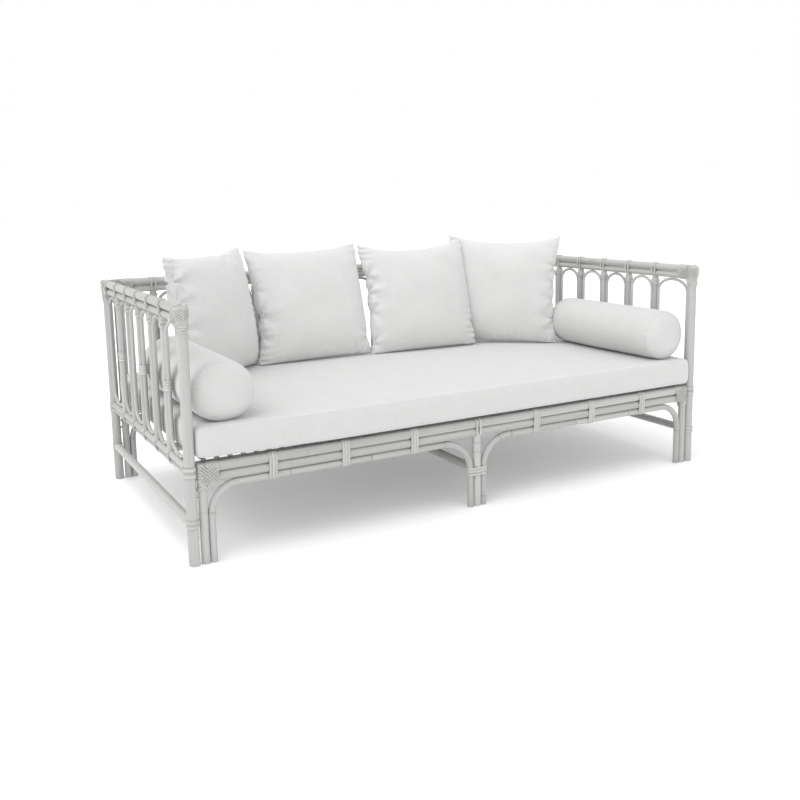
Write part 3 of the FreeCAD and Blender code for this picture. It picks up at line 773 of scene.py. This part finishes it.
for side, sx in SIDES:
    turns = wrapped_row([Vector((sx * POST_X, y, 0)) for y in ARM_SPINDLES], X_AXIS, Y_AXIS)
    bindings(f"{side}_spindle_knots", turns, f"{side}_spindle_wraps")
turns = wrapped_row([Vector((x, POST_Y, 0)) for x in BACK_SPINDLES], Y_AXIS, X_AXIS)
bindings("back_spindle_knots", turns, "back_spindle_wraps")


# ---- Bound corners
# Every joint of rails and post is covered by a braided cap of peel: close turns round the rails
# and the post, diagonal ties over both, and a plaited head on the arm posts.

CLOSE_W, CLOSE_T = 0.0082, 0.0022
CLOSE_OVERLAP = 1.04
TIE_W, TIE_T = 0.0047, 0.0030
TIE_STEPS = 26
TIE_PITCH = 0.0068
TIE_LIFT = 0.0024
TIE_SINK = 0.0030
TIE_NUDGE = 0.002
THIN = 0.42                  # a tie stops where the joint is thinner than this share of the post


def close_turns(circles, origin, u_axis, v_axis, start, end):
    """Turns laid side by side from one place along the poles to another."""
    count = max(1, round(abs(end - start) / CLOSE_W))
    width = abs(end - start) / count * CLOSE_OVERLAP
    return [strand(circles, origin, u_axis, v_axis, start + (end - start) * (step + 0.5) / count,
                   width=width, depth=CLOSE_T) for step in range(count)]


def cap_depth(spot, radius, top, rails):
    """How far a wrapped joint stands out from its own middle plane, at (inward, up) distances."""
    inward, up = spot
    (_, upper_z, upper_r), (_, lower_z, lower_r) = rails
    post = math.sqrt(max(0.0, radius ** 2 - inward ** 2)) if up < top else 0.0
    if inward < 0:
        return post
    if up > upper_z:
        sleeve = math.sqrt(max(0.0, upper_r ** 2 - (up - upper_z) ** 2))
    elif up < lower_z:
        sleeve = math.sqrt(max(0.0, lower_r ** 2 - (up - lower_z) ** 2))
    else:
        sleeve = lower_r + (upper_r - lower_r) * (up - lower_z) / (upper_z - lower_z)
    return max(post, sleeve)


def tie(foot, inward, face, start, end, shape, shift, lift):
    """A strand laid tight over one face of a joint; its ends dive under the turns around them."""
    radius = shape[0]
    run = end - start
    aside = Vector((-run.y, run.x)).normalized() * shift
    spots = [start + run * (step / TIE_STEPS) + aside for step in range(TIE_STEPS + 1)]
    spots = [spot for spot in spots if cap_depth(spot, *shape) > radius * THIN]
    if len(spots) < 8:
        return []
    depths = [cap_depth(spot, *shape) for spot in spots]
    for _ in range(4):
        eased = [(depths[max(0, i - 1)] + 2 * depths[i] + depths[min(len(depths) - 1, i + 1)]) / 4
                 for i in range(len(depths))]
        depths = [max(first, second) for first, second in zip(depths, eased)]
    places = []
    for index, (spot, depth) in enumerate(zip(spots, depths)):
        end_gap = min(index, len(spots) - 1 - index) / 3
        sink = TIE_SINK * max(0.0, 1 - end_gap) ** 1.5
        places.append(foot + inward * spot.x + Z_AXIS * spot.y
                      + face * (depth + TIE_LIFT + lift - sink))
    stations = []
    for index, (spot, place) in enumerate(zip(spots, places)):
        forward = (places[min(index + 1, len(places) - 1)] - places[max(index - 1, 0)]).normalized()
        slopes = []
        for nudge in (Vector((TIE_NUDGE, 0)), Vector((0, TIE_NUDGE))):
            rise = cap_depth(spot + nudge, *shape) - cap_depth(spot - nudge, *shape)
            slopes.append(min(1.2, max(-1.2, rise / (2 * TIE_NUDGE))))
        normal = (face - inward * slopes[0] - Z_AXIS * slopes[1]).normalized()
        side = forward.cross(normal).normalized()
        stations.append(station(place, side, side.cross(forward), forward, TIE_W / 2, TIE_T / 2))
    return [swept(stations, STRAND_SIDES, edge=STRAND_EDGE_SHADE)]


def sleeve_span(across, inward, radius, reach):
    """Start and end of the rail turns, measured along the direction that strand() shifts them."""
    sign = across.cross(Z_AXIS).dot(inward)
    return sign * radius * 0.8, sign * reach


def corner(foot, radius, top, rails, inward, reach, drop, crown=0.001):
    """Binding over the joint of an upright and two rails; inward points along the rails."""
    across = Z_AXIS.cross(inward)
    rail_low = min(z - r for _, z, r in rails)
    rail_high = max(z + r for _, z, r in rails)
    turns = close_turns(rails, foot, across, Z_AXIS, *sleeve_span(across, inward, radius, reach))
    turns += close_turns([(0, 0, radius)], foot, X_AXIS, Y_AXIS, top - drop, top - crown)
    shape = (radius, top, rails)
    low_outer = Vector((-radius * 0.6, rail_low - 0.014))
    high_outer = Vector((-radius * 0.5, top - 0.005))
    low_inner = Vector((reach * 0.9, rail_low + 0.004))
    high_inner = Vector((reach * 0.9, rail_high - 0.005))
    for face in (across, -across):
        for count in (-2, -1, 0, 1, 2):
            turns += tie(foot, inward, face, low_outer, high_inner, shape, count * TIE_PITCH, 0.0002)
        for count in (-1.5, -0.5, 0.5, 1.5):
            turns += tie(foot, inward, face, low_inner, high_outer, shape, count * TIE_PITCH, 0.0024)
    for tilt in (0.016, -0.016):
        turns.append(tilted_ring(foot, top - drop + 0.012, radius, across, tilt, 0.0022, 0.005))
    return turns


HEAD_FOLD = 0.010            # how far under the top the rounding of a head begins
PLAIT_PITCH, PLAIT_RISE = 0.0082, 0.030
PLAIT_W, PLAIT_T = 0.0052, 0.0036
PLAIT_STEPS = 20
PAD_SKIRT = 0.022
PAD_PROUD = 0.0034


def head_point(foot, radius, top, turn, height, facing, across):
    """Point on a post's rounded head and its outward normal; heights past the top fold over it."""
    outward = facing * math.cos(turn) + across * math.sin(turn)
    over = max(0.0, height - top) / radius
    if over == 0:
        return foot + outward * radius + Z_AXIS * height, outward
    fold = min(over, 1.45)
    normal = (outward * math.cos(fold) + Z_AXIS * math.sin(fold)).normalized()
    place = foot + outward * (radius * math.cos(fold)) + Z_AXIS * (top + radius * 0.48 * math.sin(fold))
    return place, normal


def plait(foot, radius, top, facing, low):
    """Chevron of strands over the end face of a head, laid from both sides in turn."""
    across = Z_AXIS.cross(facing)
    sweep = math.radians(100)
    ahead = 0.03
    turns = []
    for row in range(int((top + HEAD_FOLD - low) / PLAIT_PITCH)):
        for sign in (-1, 1):
            level = low + (row + (0.5 if sign > 0 else 0)) * PLAIT_PITCH
            stations = []
            for step in range(PLAIT_STEPS + 1):
                part = step / PLAIT_STEPS
                turn = math.radians(-16 + 126 * part)
                height = level + PLAIT_RISE * turn / sweep
                proud = radius + 0.0026 + 0.0022 * min(1.0, max(0.0, (height - low) / 0.016))
                here, normal = head_point(foot, proud, top - HEAD_FOLD, sign * turn, height,
                                          facing, across)
                later, _ = head_point(foot, proud, top - HEAD_FOLD, sign * (turn + ahead),
                                      height + PLAIT_RISE * ahead / sweep, facing, across)
                forward = (later - here).normalized()
                sink = 0.0030 * max(0.0, 1 - part / 0.12)
                sink += 0.0035 * max(0.0, (part - 0.85) / 0.15)
                stations.append(station(here - normal * sink, forward.cross(normal).normalized(),
                                        normal, forward, PLAIT_W / 2, PLAIT_T / 2))
            turns.append(swept(stations, STRAND_SIDES, edge=STRAND_EDGE_SHADE))
    return turns


def dome_pad(foot, radius, top):
    """The padded crown that the plait is laid over, closed at the top."""
    stations = [station(foot + Z_AXIS * (top - PAD_SKIRT), X_AXIS, Y_AXIS, Z_AXIS, radius, radius)]
    for step in range(9):
        fold = math.radians(11 * step)
        reach = (radius + PAD_PROUD) * math.cos(fold)
        height = top - HEAD_FOLD + radius * 0.62 * math.sin(fold)
        stations.append(station(foot + Z_AXIS * height, X_AXIS, Y_AXIS, Z_AXIS, reach, reach))
    return swept(stations, POLE_SIDES)


ARM_REACH = 0.058
CAP_DROP = 0.070
POST_RINGS = ((0.279, 0.034), (0.125, 0.026))      # middle and height of each band on a post
for side, sx in SIDES:
    turns = []
    for end, sy in ENDS:
        foot = Vector((sx * POST_X, sy * POST_Y, 0))
        turns += corner(foot, POST_R, POST_TOP, TOP_PAIR, Y_AXIS * -sy, ARM_REACH, CAP_DROP, CROWN)
        turns += plait(foot, POST_R, POST_TOP, Y_AXIS * sy, POST_TOP - CAP_DROP + 0.016)
        turns.append(dome_pad(foot, POST_R, POST_TOP))
        for middle, height in POST_RINGS:
            turns += [ring(foot, middle + sign * height * 0.28, POST_R, height * 0.42, 0.003)
                      for sign in (-1, 1)]
            turns.append(ring(foot, middle, POST_R, 0.004, 0.002, lift=0.0004))
    bindings(f"{side}_post_bindings", turns, f"{side}_post_wraps")

APRON_REACH = 0.046
APRON_DROP = 0.075
for end, sy in ENDS:
    turns = []
    for _, sx in SIDES:
        foot = Vector((sx * END_X, sy * POST_Y, 0))
        turns += corner(foot, END_R, FRONT_TOP, APRON_PAIR, X_AXIS * -sx, APRON_REACH, APRON_DROP)
    bindings(f"{end}_apron_corners", turns, f"{end}_apron_corner_wraps")
turns = []
for _, sx in SIDES:
    foot = Vector((sx * END_X, POST_Y, 0))
    turns += corner(foot, END_R, BACK_TOP, TOP_PAIR, X_AXIS * -sx, ARM_REACH, CAP_DROP)
bindings("back_top_corners", turns, "back_top_corner_wraps")


# ---- Deck
# Cane ledgers, bearers and a cross rail hidden under the mattress, with split cane laths laid
# over them from front to back, and the hidden bolts that hold the four frames together.


def plated(name, colour, roughness):
    """Zinc or brass: a metal with fine turning marks."""
    material, tree, shader = shader_of(name, {"Roughness": roughness, "Metallic": 1.0})
    source = tree.nodes.new("ShaderNodeTexCoord")
    marks = mottle(tree, stretched(tree, source.outputs["Object"], (2500, 120, 120)))
    link(tree, ramp(tree, marks, [(0.3, tuple(c * 0.8 for c in colour)), (0.7, colour)]),
         shader.inputs["Base Color"])
    raised(tree, shader, marks, 0.1, 0.0002)
    return material


deck_wash = rattan_finish("deck_cane", POLE_PALE, POLE_DARK, (9, 420, 420), "object")
cross_wash = rattan_finish("cross_cane", POLE_PALE, POLE_DARK, (420, 9, 420), "object")
lath_wash = rattan_finish("split_cane", (0.50, 0.50, 0.49), (0.36, 0.36, 0.35), (380, 8, 380),
                          "object")
for name, finish in (("deck_ledgers", deck_wash), ("deck_bearers", deck_wash),
                     ("deck_cross_rail", cross_wash), ("deck_laths", lath_wash),
                     ("frame_bolts", plated("zinc", (0.62, 0.62, 0.63), 0.35)),
                     ("bolt_inserts", plated("brass", (0.74, 0.60, 0.34), 0.4))):
    nodes[name].data.materials.clear()
    nodes[name].data.materials.append(finish)


# ---- Linen covers
# Plain woven linen, undyed and pale. The threads run with each cover's own sides, with slubs and
# a faint unevenness in tone.

THREAD_PITCH = 0.0011
BANDS_PER_METRE = 0.314      # scale of the wave bands that gives one thread to a pitch
SOFTENING = 0.006
LIE = 0.0012
SEAM_D = 0.0022


def linen_finish(name, pale, shaded):
    """Plain weave on the cover's own flat coordinates, which are in metres."""
    material, tree, shader = shader_of(name, {
        "Roughness": 0.88, "Specular IOR Level": 0.18, "Sheen Weight": 0.25, "Sheen Roughness": 0.6})
    source = tree.nodes.new("ShaderNodeUVMap")
    source.uv_map = "cut"
    threads = []
    for turn in (0, 90):
        mapping = tree.nodes.new("ShaderNodeMapping")
        mapping.inputs["Rotation"].default_value = (0, 0, math.radians(turn))
        link(tree, source.outputs["UV"], mapping.inputs["Vector"])
        wave = tree.nodes.new("ShaderNodeTexWave")
        wave.bands_direction = "X"
        dialled(wave, {"Scale": BANDS_PER_METRE / THREAD_PITCH, "Distortion": 0.6, "Detail": 1.0,
                       "Detail Scale": 0.2})
        link(tree, mapping.outputs["Vector"], wave.inputs["Vector"])
        threads.append(wave.outputs["Fac"])
    weave = mixed(tree, "MULTIPLY", 1.0, threads[0], threads[1])
    slubs = mottle(tree, stretched(tree, source.outputs["UV"], (900, 40, 1)), 2.0)
    slubs_across = mottle(tree, stretched(tree, source.outputs["UV"], (40, 900, 1)), 2.0)
    cloud = mottle(tree, stretched(tree, source.outputs["UV"], (14, 14, 1)))
    tone = ramp(tree, cloud, [(0.3, shaded), (0.7, pale)])
    for marks in (slubs, slubs_across):
        flecks = ramp(tree, marks, [(0.25, (0.86, 0.86, 0.86)), (0.45, (1, 1, 1)),
                                    (0.8, (1, 1, 1))])
        tone = mixed(tree, "MULTIPLY", 0.55, tone, flecks)
    # Painted shade: the low points of the weave, between the threads, are darkened.
    pit_shade = ramp(tree, weave, [(0.0, (0.90, 0.90, 0.90)), (0.5, (1, 1, 1))])
    tone = mixed(tree, "MULTIPLY", 0.6, tone, pit_shade)
    link(tree, tone, shader.inputs["Base Color"])
    height = mixed(tree, "ADD", 0.35, weave, slubs)
    raised(tree, shader, height, 0.35, 0.0004)
    return material


cushion_linen = linen_finish("cushion_linen", (0.725, 0.725, 0.72), (0.69, 0.69, 0.685))
bolster_linen = linen_finish("bolster_linen", (0.655, 0.655, 0.65), (0.63, 0.63, 0.625))
mattress_linen = linen_finish("mattress_linen", (0.665, 0.665, 0.66), (0.64, 0.64, 0.635))


def resting(height, bed):
    """Height of a soft underside once it lies on a flat bed."""
    rise = height - bed
    return bed + 0.5 * (rise + math.sqrt(rise * rise + SOFTENING ** 2)) - LIE


def dressed(cover, material, body, node):
    """A padded cover that rides on its body and stands for one node."""
    cover.data.materials.append(material)
    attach(cover, body)
    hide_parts(node)


def seam_ridge(name, cover, points, material, body, sink):
    """A stitched seam that stands a little proud of a cover, along a closed row of points."""
    tree = BVHTree.FromObject(cover, bpy.context.evaluated_depsgraph_get())
    line = []
    for point in points:
        place, normal, _, _ = tree.find_nearest(point)
        line.append((place + normal * (SEAM_D * (0.5 - sink)), normal))
    for _ in range(3):
        line = [((line[i - 1][0] + line[i][0] * 2 + line[(i + 1) % len(line)][0]) / 4, line[i][1])
                for i in range(len(line))]
    stations = []
    for index, (place, normal) in enumerate(line):
        forward = (line[(index + 1) % len(line)][0] - line[index - 1][0]).normalized()
        side = forward.cross(normal).normalized()
        stations.append(station(place, side, side.cross(forward), forward, SEAM_D / 2, SEAM_D / 2))
    mesh = swept(stations, 8, closed=True)
    flat = mesh.uv_layers.new(name="cut")
    for edge_loop in mesh.loops:
        place = mesh.vertices[edge_loop.vertex_index].co
        flat.data[edge_loop.index].uv = (place.x + place.z, place.y)
    piece(name, [mesh], material, body=body)


# ---- Mattress
# A foam slab in a boxed linen cover, cut with a band between two panels and stitched round the
# top and the bottom edge. It lies loose on the laths.

slab_low, slab_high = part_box("mattress")
SLAB_EDGE = 0.012
SLAB_VOXEL = 0.0068
SLAB_BULGE = 0.0025
SLAB_HOLLOW = 0.0016
SLAB_RIPPLE = 0.0011
CURL, CURL_REACH = 0.008, 0.44
RIM_SPACING = 0.012
TOP_SEAM_DROP, BOTTOM_SEAM_RISE = 0.006, 0.008


def flat_cut(mesh, origin):
    """Flat coordinates for a boxed cover: each face takes the two axes it lies on."""
    layer = mesh.uv_layers.new(name="cut")
    for face in mesh.polygons:
        facing = [abs(part) for part in face.normal]
        first, second = ((Y_AXIS, Z_AXIS), (X_AXIS, Z_AXIS), (X_AXIS, Y_AXIS))[
            facing.index(max(facing))]
        for loop_index in face.loop_indices:
            place = mesh.vertices[mesh.loops[loop_index].vertex_index].co - origin
            layer.data[loop_index].uv = (place.dot(first), place.dot(second))


def remeshed(form_object, voxel):
    """Even square cells over a closed form, with the rounded edges smoothed."""
    modifier = form_object.modifiers.new("even", "REMESH")
    modifier.mode = "VOXEL"
    modifier.voxel_size = voxel
    settled = form_object.evaluated_get(bpy.context.evaluated_depsgraph_get())
    even = bmesh.new()
    even.from_mesh(settled.data)
    form_object.modifiers.clear()
    for _ in range(3):
        bmesh.ops.smooth_vert(even, verts=even.verts, factor=0.5, use_axis_x=True, use_axis_y=True,
                              use_axis_z=True)
    even.to_mesh(form_object.data)
    even.free()
    form_object.data.polygons.foreach_set("use_smooth", [True] * len(form_object.data.polygons))


slab_form = bmesh.new()
bmesh.ops.create_cube(slab_form, size=1)
slab_size = slab_high - slab_low
bmesh.ops.scale(slab_form, vec=slab_size, verts=slab_form.verts)
bmesh.ops.translate(slab_form, vec=(slab_low + slab_high) / 2, verts=slab_form.verts)
bmesh.ops.bevel(slab_form, geom=slab_form.edges, offset=SLAB_EDGE, affect="EDGES", segments=5,
                profile=0.5, material=-1)
slab = placed("mattress_cover", finished("mattress_cover", slab_form))
remeshed(slab, SLAB_VOXEL)


def slab_shift(place):
    """Slow hollows and swells of a used slab, and the near corner that curls up a little."""
    top = min(1.0, max(0.0, (place.z - slab_low.z) / slab_size.z))
    wave = (noise.noise(Vector((place.x * 2.3, place.y * 3.1, 5.0))) - 0.6) * SLAB_HOLLOW * top
    edge = noise.noise(Vector((place.x * 7, place.y * 7, place.z * 9))) * SLAB_RIPPLE
    near = math.hypot(place.x - slab_low.x, place.y - slab_low.y)
    curl = CURL * max(0.0, 1 - near / CURL_REACH) ** 1.3 * (1 - top * 0.9)
    middle = (slab_low + slab_high) / 2
    bulge = SLAB_BULGE * (1 - (2 * top - 1) ** 2) + edge
    out_x = bulge * ((place.x - middle.x) / (slab_size.x / 2)) ** 21
    out_y = bulge * ((place.y - middle.y) / (slab_size.y / 2)) ** 11
    return Vector((out_x, out_y, wave + curl))


for vert in slab.data.vertices:
    vert.co += slab_shift(vert.co)
    vert.co.z = max(vert.co.z, slab_low.z + 0.0002)
flat_cut(slab.data, slab_low)
dressed(slab, mattress_linen, "mattress", "mattress")


def round_rectangle(low, high, radius, z):
    """Closed row of points on a rectangle with rounded corners."""
    points = []
    corners = ((high.x, high.y, 0), (low.x, high.y, 90), (low.x, low.y, 180), (high.x, low.y, 270))
    for x, y, start in corners:
        hub = Vector((x - math.copysign(radius, x - (low.x + high.x) / 2),
                      y - math.copysign(radius, y - (low.y + high.y) / 2), z))
        for step in range(7):
            turn = math.radians(start + 15 * step)
            points.append(hub + Vector((math.cos(turn), math.sin(turn), 0)) * radius)
    points.append(points[0])
    total = reach_of(points)
    count = round(total / RIM_SPACING)
    return [along(points, total * step / count) for step in range(count)]


for name, z in (("mattress_top_seam", slab_high.z - TOP_SEAM_DROP),
                ("mattress_bottom_seam", slab_low.z + BOTTOM_SEAM_RISE)):
    rim = round_rectangle(slab_low, slab_high, SLAB_EDGE, z)
    seam_ridge(name, slab, rim, mattress_linen, "mattress", 0.55)


# ---- Bolsters
# Two stuffed rolls along the arms: a linen tube with a domed disc sewn into each end. The tube
# is gathered a little into its end seams and lies flat where it rests.

BOLSTER_SIDES = 132
DOME = 0.025
BACK_DOME = 0.005
BACK_REACH = 0.042
RIM_TUCK = 0.0025
TUBE_STEP = 0.006
TUBE_FULLNESS, FULL_WITHIN = 0.0025, 0.014
GATHERS, GATHER_DEPTH, GATHER_REACH = 40, 0.0012, 0.008
TUBE_SLACK = 0.0022
DISC_SHARES = (0.03, 0.1, 0.2, 0.3, 0.4, 0.5, 0.6, 0.7, 0.77, 0.83, 0.88, 0.92, 0.95, 0.975)
SEAM_POINTS = 110
SPREAD = {"left": (1.07, 0.97), "right": (1.0, 1.0)}      # how wide and how tall each has settled


def bolster(side, sx):
    """A roll built in rings from the front disc to the back one, and its two seams."""
    low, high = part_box(f"bolster_{side}")
    centre = (low + high) / 2
    radius = (high.x - low.x) / 2
    wide, tall = SPREAD[side]
    centre.x -= sx * (wide - 1) * radius
    centre.z -= (1 - tall) * radius
    rim = radius - RIM_TUCK
    dome = [(rim * share, share ** 4) for share in DISC_SHARES]
    end_y = high.y + BACK_REACH
    tube_low, tube_high = low.y + DOME, end_y - BACK_DOME
    count = round((tube_high - tube_low) / TUBE_STEP)
    rows = [(low.y + DOME * share, r) for r, share in dome]
    fullness = RIM_TUCK + TUBE_FULLNESS
    for step in range(count + 1):
        y = tube_low + (tube_high - tube_low) * step / count
        from_seam = min(y - tube_low, tube_high - y)
        rows.append((y, rim + fullness * (1 - math.exp(-from_seam / FULL_WITHIN))))
    rows += [(end_y - BACK_DOME * share, r) for r, share in reversed(dome)]

    form = bmesh.new()
    cut = form.loops.layers.uv.new("cut")
    rings = []
    for y, r in rows:
        ring_verts = []
        from_seam = min(abs(y - tube_low), abs(y - tube_high))
        for step in range(BOLSTER_SIDES):
            turn = 2 * math.pi * step / BOLSTER_SIDES
            drift = 2.5 * noise.noise(Vector((turn * 3, sx, y > centre.y)))
            gather = math.sin(turn * GATHERS + drift) * GATHER_DEPTH
            gather *= (from_seam / GATHER_REACH) * math.exp(1 - from_seam / GATHER_REACH)
            around = Vector((math.cos(turn), math.sin(turn), 0))
            slack = noise.noise(Vector((around.x * 1.4, around.y * 1.4, y * 4.0 + sx * 3))) * TUBE_SLACK
            out = r + (gather + slack) * min(1, r / rim)
            z = resting(centre.z + math.sin(turn) * out * tall, low.z)
            ring_verts.append(form.verts.new((centre.x + math.cos(turn) * out * wide, y, z)))
        rings.append(ring_verts)
    for row, (first, second) in enumerate(zip(rings, rings[1:])):
        disc = row < len(dome) or row >= len(rings) - len(dome) - 1
        for step in range(BOLSTER_SIDES):
            follow = (step + 1) % BOLSTER_SIDES
            face = form.faces.new((first[step], first[follow], second[follow], second[step]))
            for corner_loop, number in zip(face.loops, (step, step + 1, step + 1, step)):
                place = corner_loop.vert.co - centre
                arc = 2 * math.pi * number / BOLSTER_SIDES * radius
                corner_loop[cut].uv = (place.x, place.z) if disc else (arc, place.y)
    for ring_verts in (rings[0], rings[-1]):
        face = form.faces.new(ring_verts)
        for corner_loop in face.loops:
            place = corner_loop.vert.co - centre
            corner_loop[cut].uv = (place.x, place.z)
    bmesh.ops.recalc_face_normals(form, faces=form.faces)
    for face in form.faces:
        face.smooth = True
    body = f"bolster_{side}"
    roll = placed(f"{body}_cover", finished(f"{body}_cover", form))
    dressed(roll, bolster_linen, body, body)
    turns = [2 * math.pi * step / SEAM_POINTS for step in range(SEAM_POINTS)]
    for end, y in (("front", tube_low), ("back", tube_high)):
        points = [Vector((centre.x + math.cos(turn) * rim * wide, y,
                          centre.z + math.sin(turn) * rim * tall)) for turn in turns]
        seam_ridge(f"{body}_{end}_seam", roll, points, bolster_linen, body, 0.45)


for side, sx in SIDES:
    bolster(side, sx)


# ---- Scatter cushions
# Four square knife-edged cushions: two linen squares sewn at the edge and stuffed, so the sides
# pull in between small pointed corners and the seams pucker. They lean back in a row.

CUSHION_W = 0.474
CUSHION_H = 0.456
CUSHION_CELLS = 92
CUSHION_HALF = {"cushion_1": 0.074, "cushion_2": 0.062, "cushion_3": 0.062, "cushion_4": 0.062}
PUCKER_PITCH, PUCKER_REACH = 0.030, 0.013
PUCKER_DEPTHS = (0.0042, 0.0032, 0.0018, 0.0034)      # left, right, top, bottom
PRESSED = 0.005              # how far a cushion sinks onto the mattress
# Foot of each cushion, then its turn, lean and roll in degrees.
LEANING = {
    "cushion_1": ((-0.6333, 0.2158), 39.0, 8.9, 0.5),
    "cushion_2": ((-0.2296, 0.3035), -1.4, 15.1, 1.2),
    "cushion_3": ((0.2454, 0.2639), -5.5, 14.8, 1.1),
    "cushion_4": ((0.6131, 0.2246), -40.5, 6.7, -1.4),
}
# How far each side curves in: left, right, top, bottom.
DRAWN_IN = {
    "cushion_1": (0.010, 0.002, 0.018, 0.004),
    "cushion_2": (0.019, 0.001, 0.022, 0.004),
    "cushion_3": (0.012, 0.001, 0.036, 0.002),
    "cushion_4": (0.010, 0.016, 0.032, 0.006),
}
# Creases that start at a seam: side (0 left, 1 right, 2 top), place along it, depth and size.
CREASES = {
    "cushion_1": ((0, 0.62, 0.012, 0.028), (0, 0.30, 0.009, 0.022), (2, 0.45, 0.008, 0.024),
                  (0, -0.1, 0.008, 0.02)),
    "cushion_2": ((0, -0.16, 0.015, 0.020), (0, 0.30, 0.006, 0.020), (0, -0.52, 0.008, 0.020),
                  (1, -0.70, 0.006, 0.018)),
    "cushion_3": ((0, 0.40, 0.013, 0.019), (0, 0.14, 0.011, 0.022), (0, -0.25, 0.009, 0.020),
                  (0, -0.78, 0.008, 0.018), (1, -0.60, 0.005, 0.016)),
    "cushion_4": ((1, 0.42, 0.008, 0.020), (1, 0.12, 0.007, 0.018), (1, -0.20, 0.007, 0.018),
                  (1, -0.55, 0.008, 0.020), (0, -0.5, 0.006, 0.020)),
}


def puckered(distance, from_seam, number, strength):
    """Small folds that the stitching gathers along a seam."""
    drift = 1.3 * noise.noise(Vector((distance * 10, number, 0)))
    phase = 2 * math.pi * (distance / PUCKER_PITCH + drift)
    uneven = 0.42 + 1.5 * noise.noise(Vector((distance * 7, number, 7.7)))
    near = from_seam / PUCKER_REACH
    return strength * max(0.06, uneven) * math.sin(phase) * near * math.exp(1 - near)


def cushion_point(name, u, v, sign):
    """Point of one cover panel, lying on X and Y; u and v run from -1 to 1 between the seams."""
    number = int(name[-1])
    left, right, top, bottom = DRAWN_IN[name]
    pull_u = (right if u > 0 else -left) * (1 - abs(v) ** 2.4) * abs(u) ** 2.5
    pull_v = (top if v > 0 else -bottom) * (1 - abs(u) ** 2.4) * abs(v) ** 2.5
    x, y = u * CUSHION_W / 2 - pull_u, v * CUSHION_H / 2 - pull_v
    crown_u = max(0.0, 1 - abs(u) ** 2.8) ** 0.47
    crown_v = max(0.0, 1 - abs(v) ** (2.6 if v > 0 else 3.4)) ** 0.48
    z = CUSHION_HALF[name] * crown_u * crown_v
    z *= 1 + 0.10 * noise.noise(Vector((u * 1.5, v * 1.5, number * 4.0 + sign)))
    seams = ((1 + u) * CUSHION_W / 2, (1 - u) * CUSHION_W / 2, (1 - v) * CUSHION_H / 2,
             (1 + v) * CUSHION_H / 2)
    runs = (y, y, x, x)
    inward = (Vector((1, 0)), Vector((-1, 0)), Vector((0, -1)), Vector((0, 1)))
    for side, strength in enumerate(PUCKER_DEPTHS):
        run = runs[side] + side * 0.37
        lift = puckered(run, seams[side], number + side * 0.3, strength)
        z += lift * min(1.0, min(seams) / 0.004)
        wobble = puckered(run + 0.006, 0.011, number + side * 0.3, strength)
        step = inward[side] * wobble * 0.45 * math.exp(-seams[side] / 0.012)
        x, y = x + step.x, y + step.y
    folds = noise.noise(Vector((u * 1.8, v * 9.0 + number, sign * 2.0)))
    z += folds * 0.0040 * abs(u) ** 3 * crown_u * crown_v
    corner_gap = math.hypot(min(seams[0], seams[1]), min(seams[2], seams[3]))
    ear = 0.0020 * math.exp(-(corner_gap / 0.016) ** 2)
    ear -= 0.003 * math.exp(-((corner_gap - 0.036) / 0.016) ** 2)
    x, y = x + math.copysign(ear, u), y + math.copysign(ear, v)
    for side, place, depth, size in CREASES[name]:
        span = CUSHION_H if side < 2 else CUSHION_W
        run = runs[side] - place * span / 2
        from_seam = seams[side]
        step = inward[side] * depth * math.exp(-(run / size) ** 2 / 2 - from_seam / 0.03)
        x, y = x + step.x, y + step.y
        reach = math.hypot(run, from_seam)
        facing = math.atan2(run, from_seam + 0.004)
        rays = math.cos(facing * 5.2 + number + side) + 0.35
        z -= depth * 1.15 * rays * math.exp(-reach / (size * 1.9)) * min(1.0, from_seam / 0.008)
    return Vector((x, y, sign * max(z, 0.0)))


def cushion(name):
    """Two panels sewn at the edge, stood up, leaned back and settled on the mattress."""
    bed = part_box(name)[0].z
    centre = Matrix.Translation((0, 0, CUSHION_H / 2))
    (x, y), turn, lean, roll = LEANING[name]
    upright = centre @ Matrix.Rotation(math.radians(90), 4, "X")
    rolled = centre @ Matrix.Rotation(math.radians(-roll), 4, "Y") @ centre.inverted()
    leaned = (Matrix.Translation((x, y, 0)) @ Matrix.Rotation(math.radians(turn), 4, "Z")
              @ Matrix.Rotation(math.radians(-lean), 4, "X"))
    form = bmesh.new()
    bmesh.ops.create_grid(form, x_segments=CUSHION_CELLS, y_segments=CUSHION_CELLS, size=1)
    cut = form.loops.layers.uv.new("cut")
    for face in form.faces:
        for corner_loop in face.loops:
            u, v, _ = corner_loop.vert.co
            corner_loop[cut].uv = (u * CUSHION_W / 2, v * CUSHION_H / 2)
    back = bmesh.ops.duplicate(form, geom=form.verts[:] + form.edges[:] + form.faces[:])["geom"]
    back_verts = {item for item in back if isinstance(item, bmesh.types.BMVert)}
    for vert in form.verts:
        u, v = (math.copysign(math.sin(abs(share) * math.pi / 2) ** 0.9, share) for share in vert.co.xy)
        vert.co = cushion_point(name, u, v, -1 if vert in back_verts else 1)
    bmesh.ops.remove_doubles(form, verts=form.verts, dist=1e-5)
    bmesh.ops.recalc_face_normals(form, faces=form.faces)
    bmesh.ops.transform(form, matrix=leaned @ rolled @ upright, verts=form.verts)
    settle = bed - PRESSED - min(vert.co.z for vert in form.verts)
    for vert in form.verts:
        vert.co.z = resting(vert.co.z + settle, bed)
    for face in form.faces:
        face.smooth = True
    cover = placed(f"{name}_cover", finished(f"{name}_cover", form))
    dressed(cover, cushion_linen, name, name)


for name in LEANING:
    cushion(name)
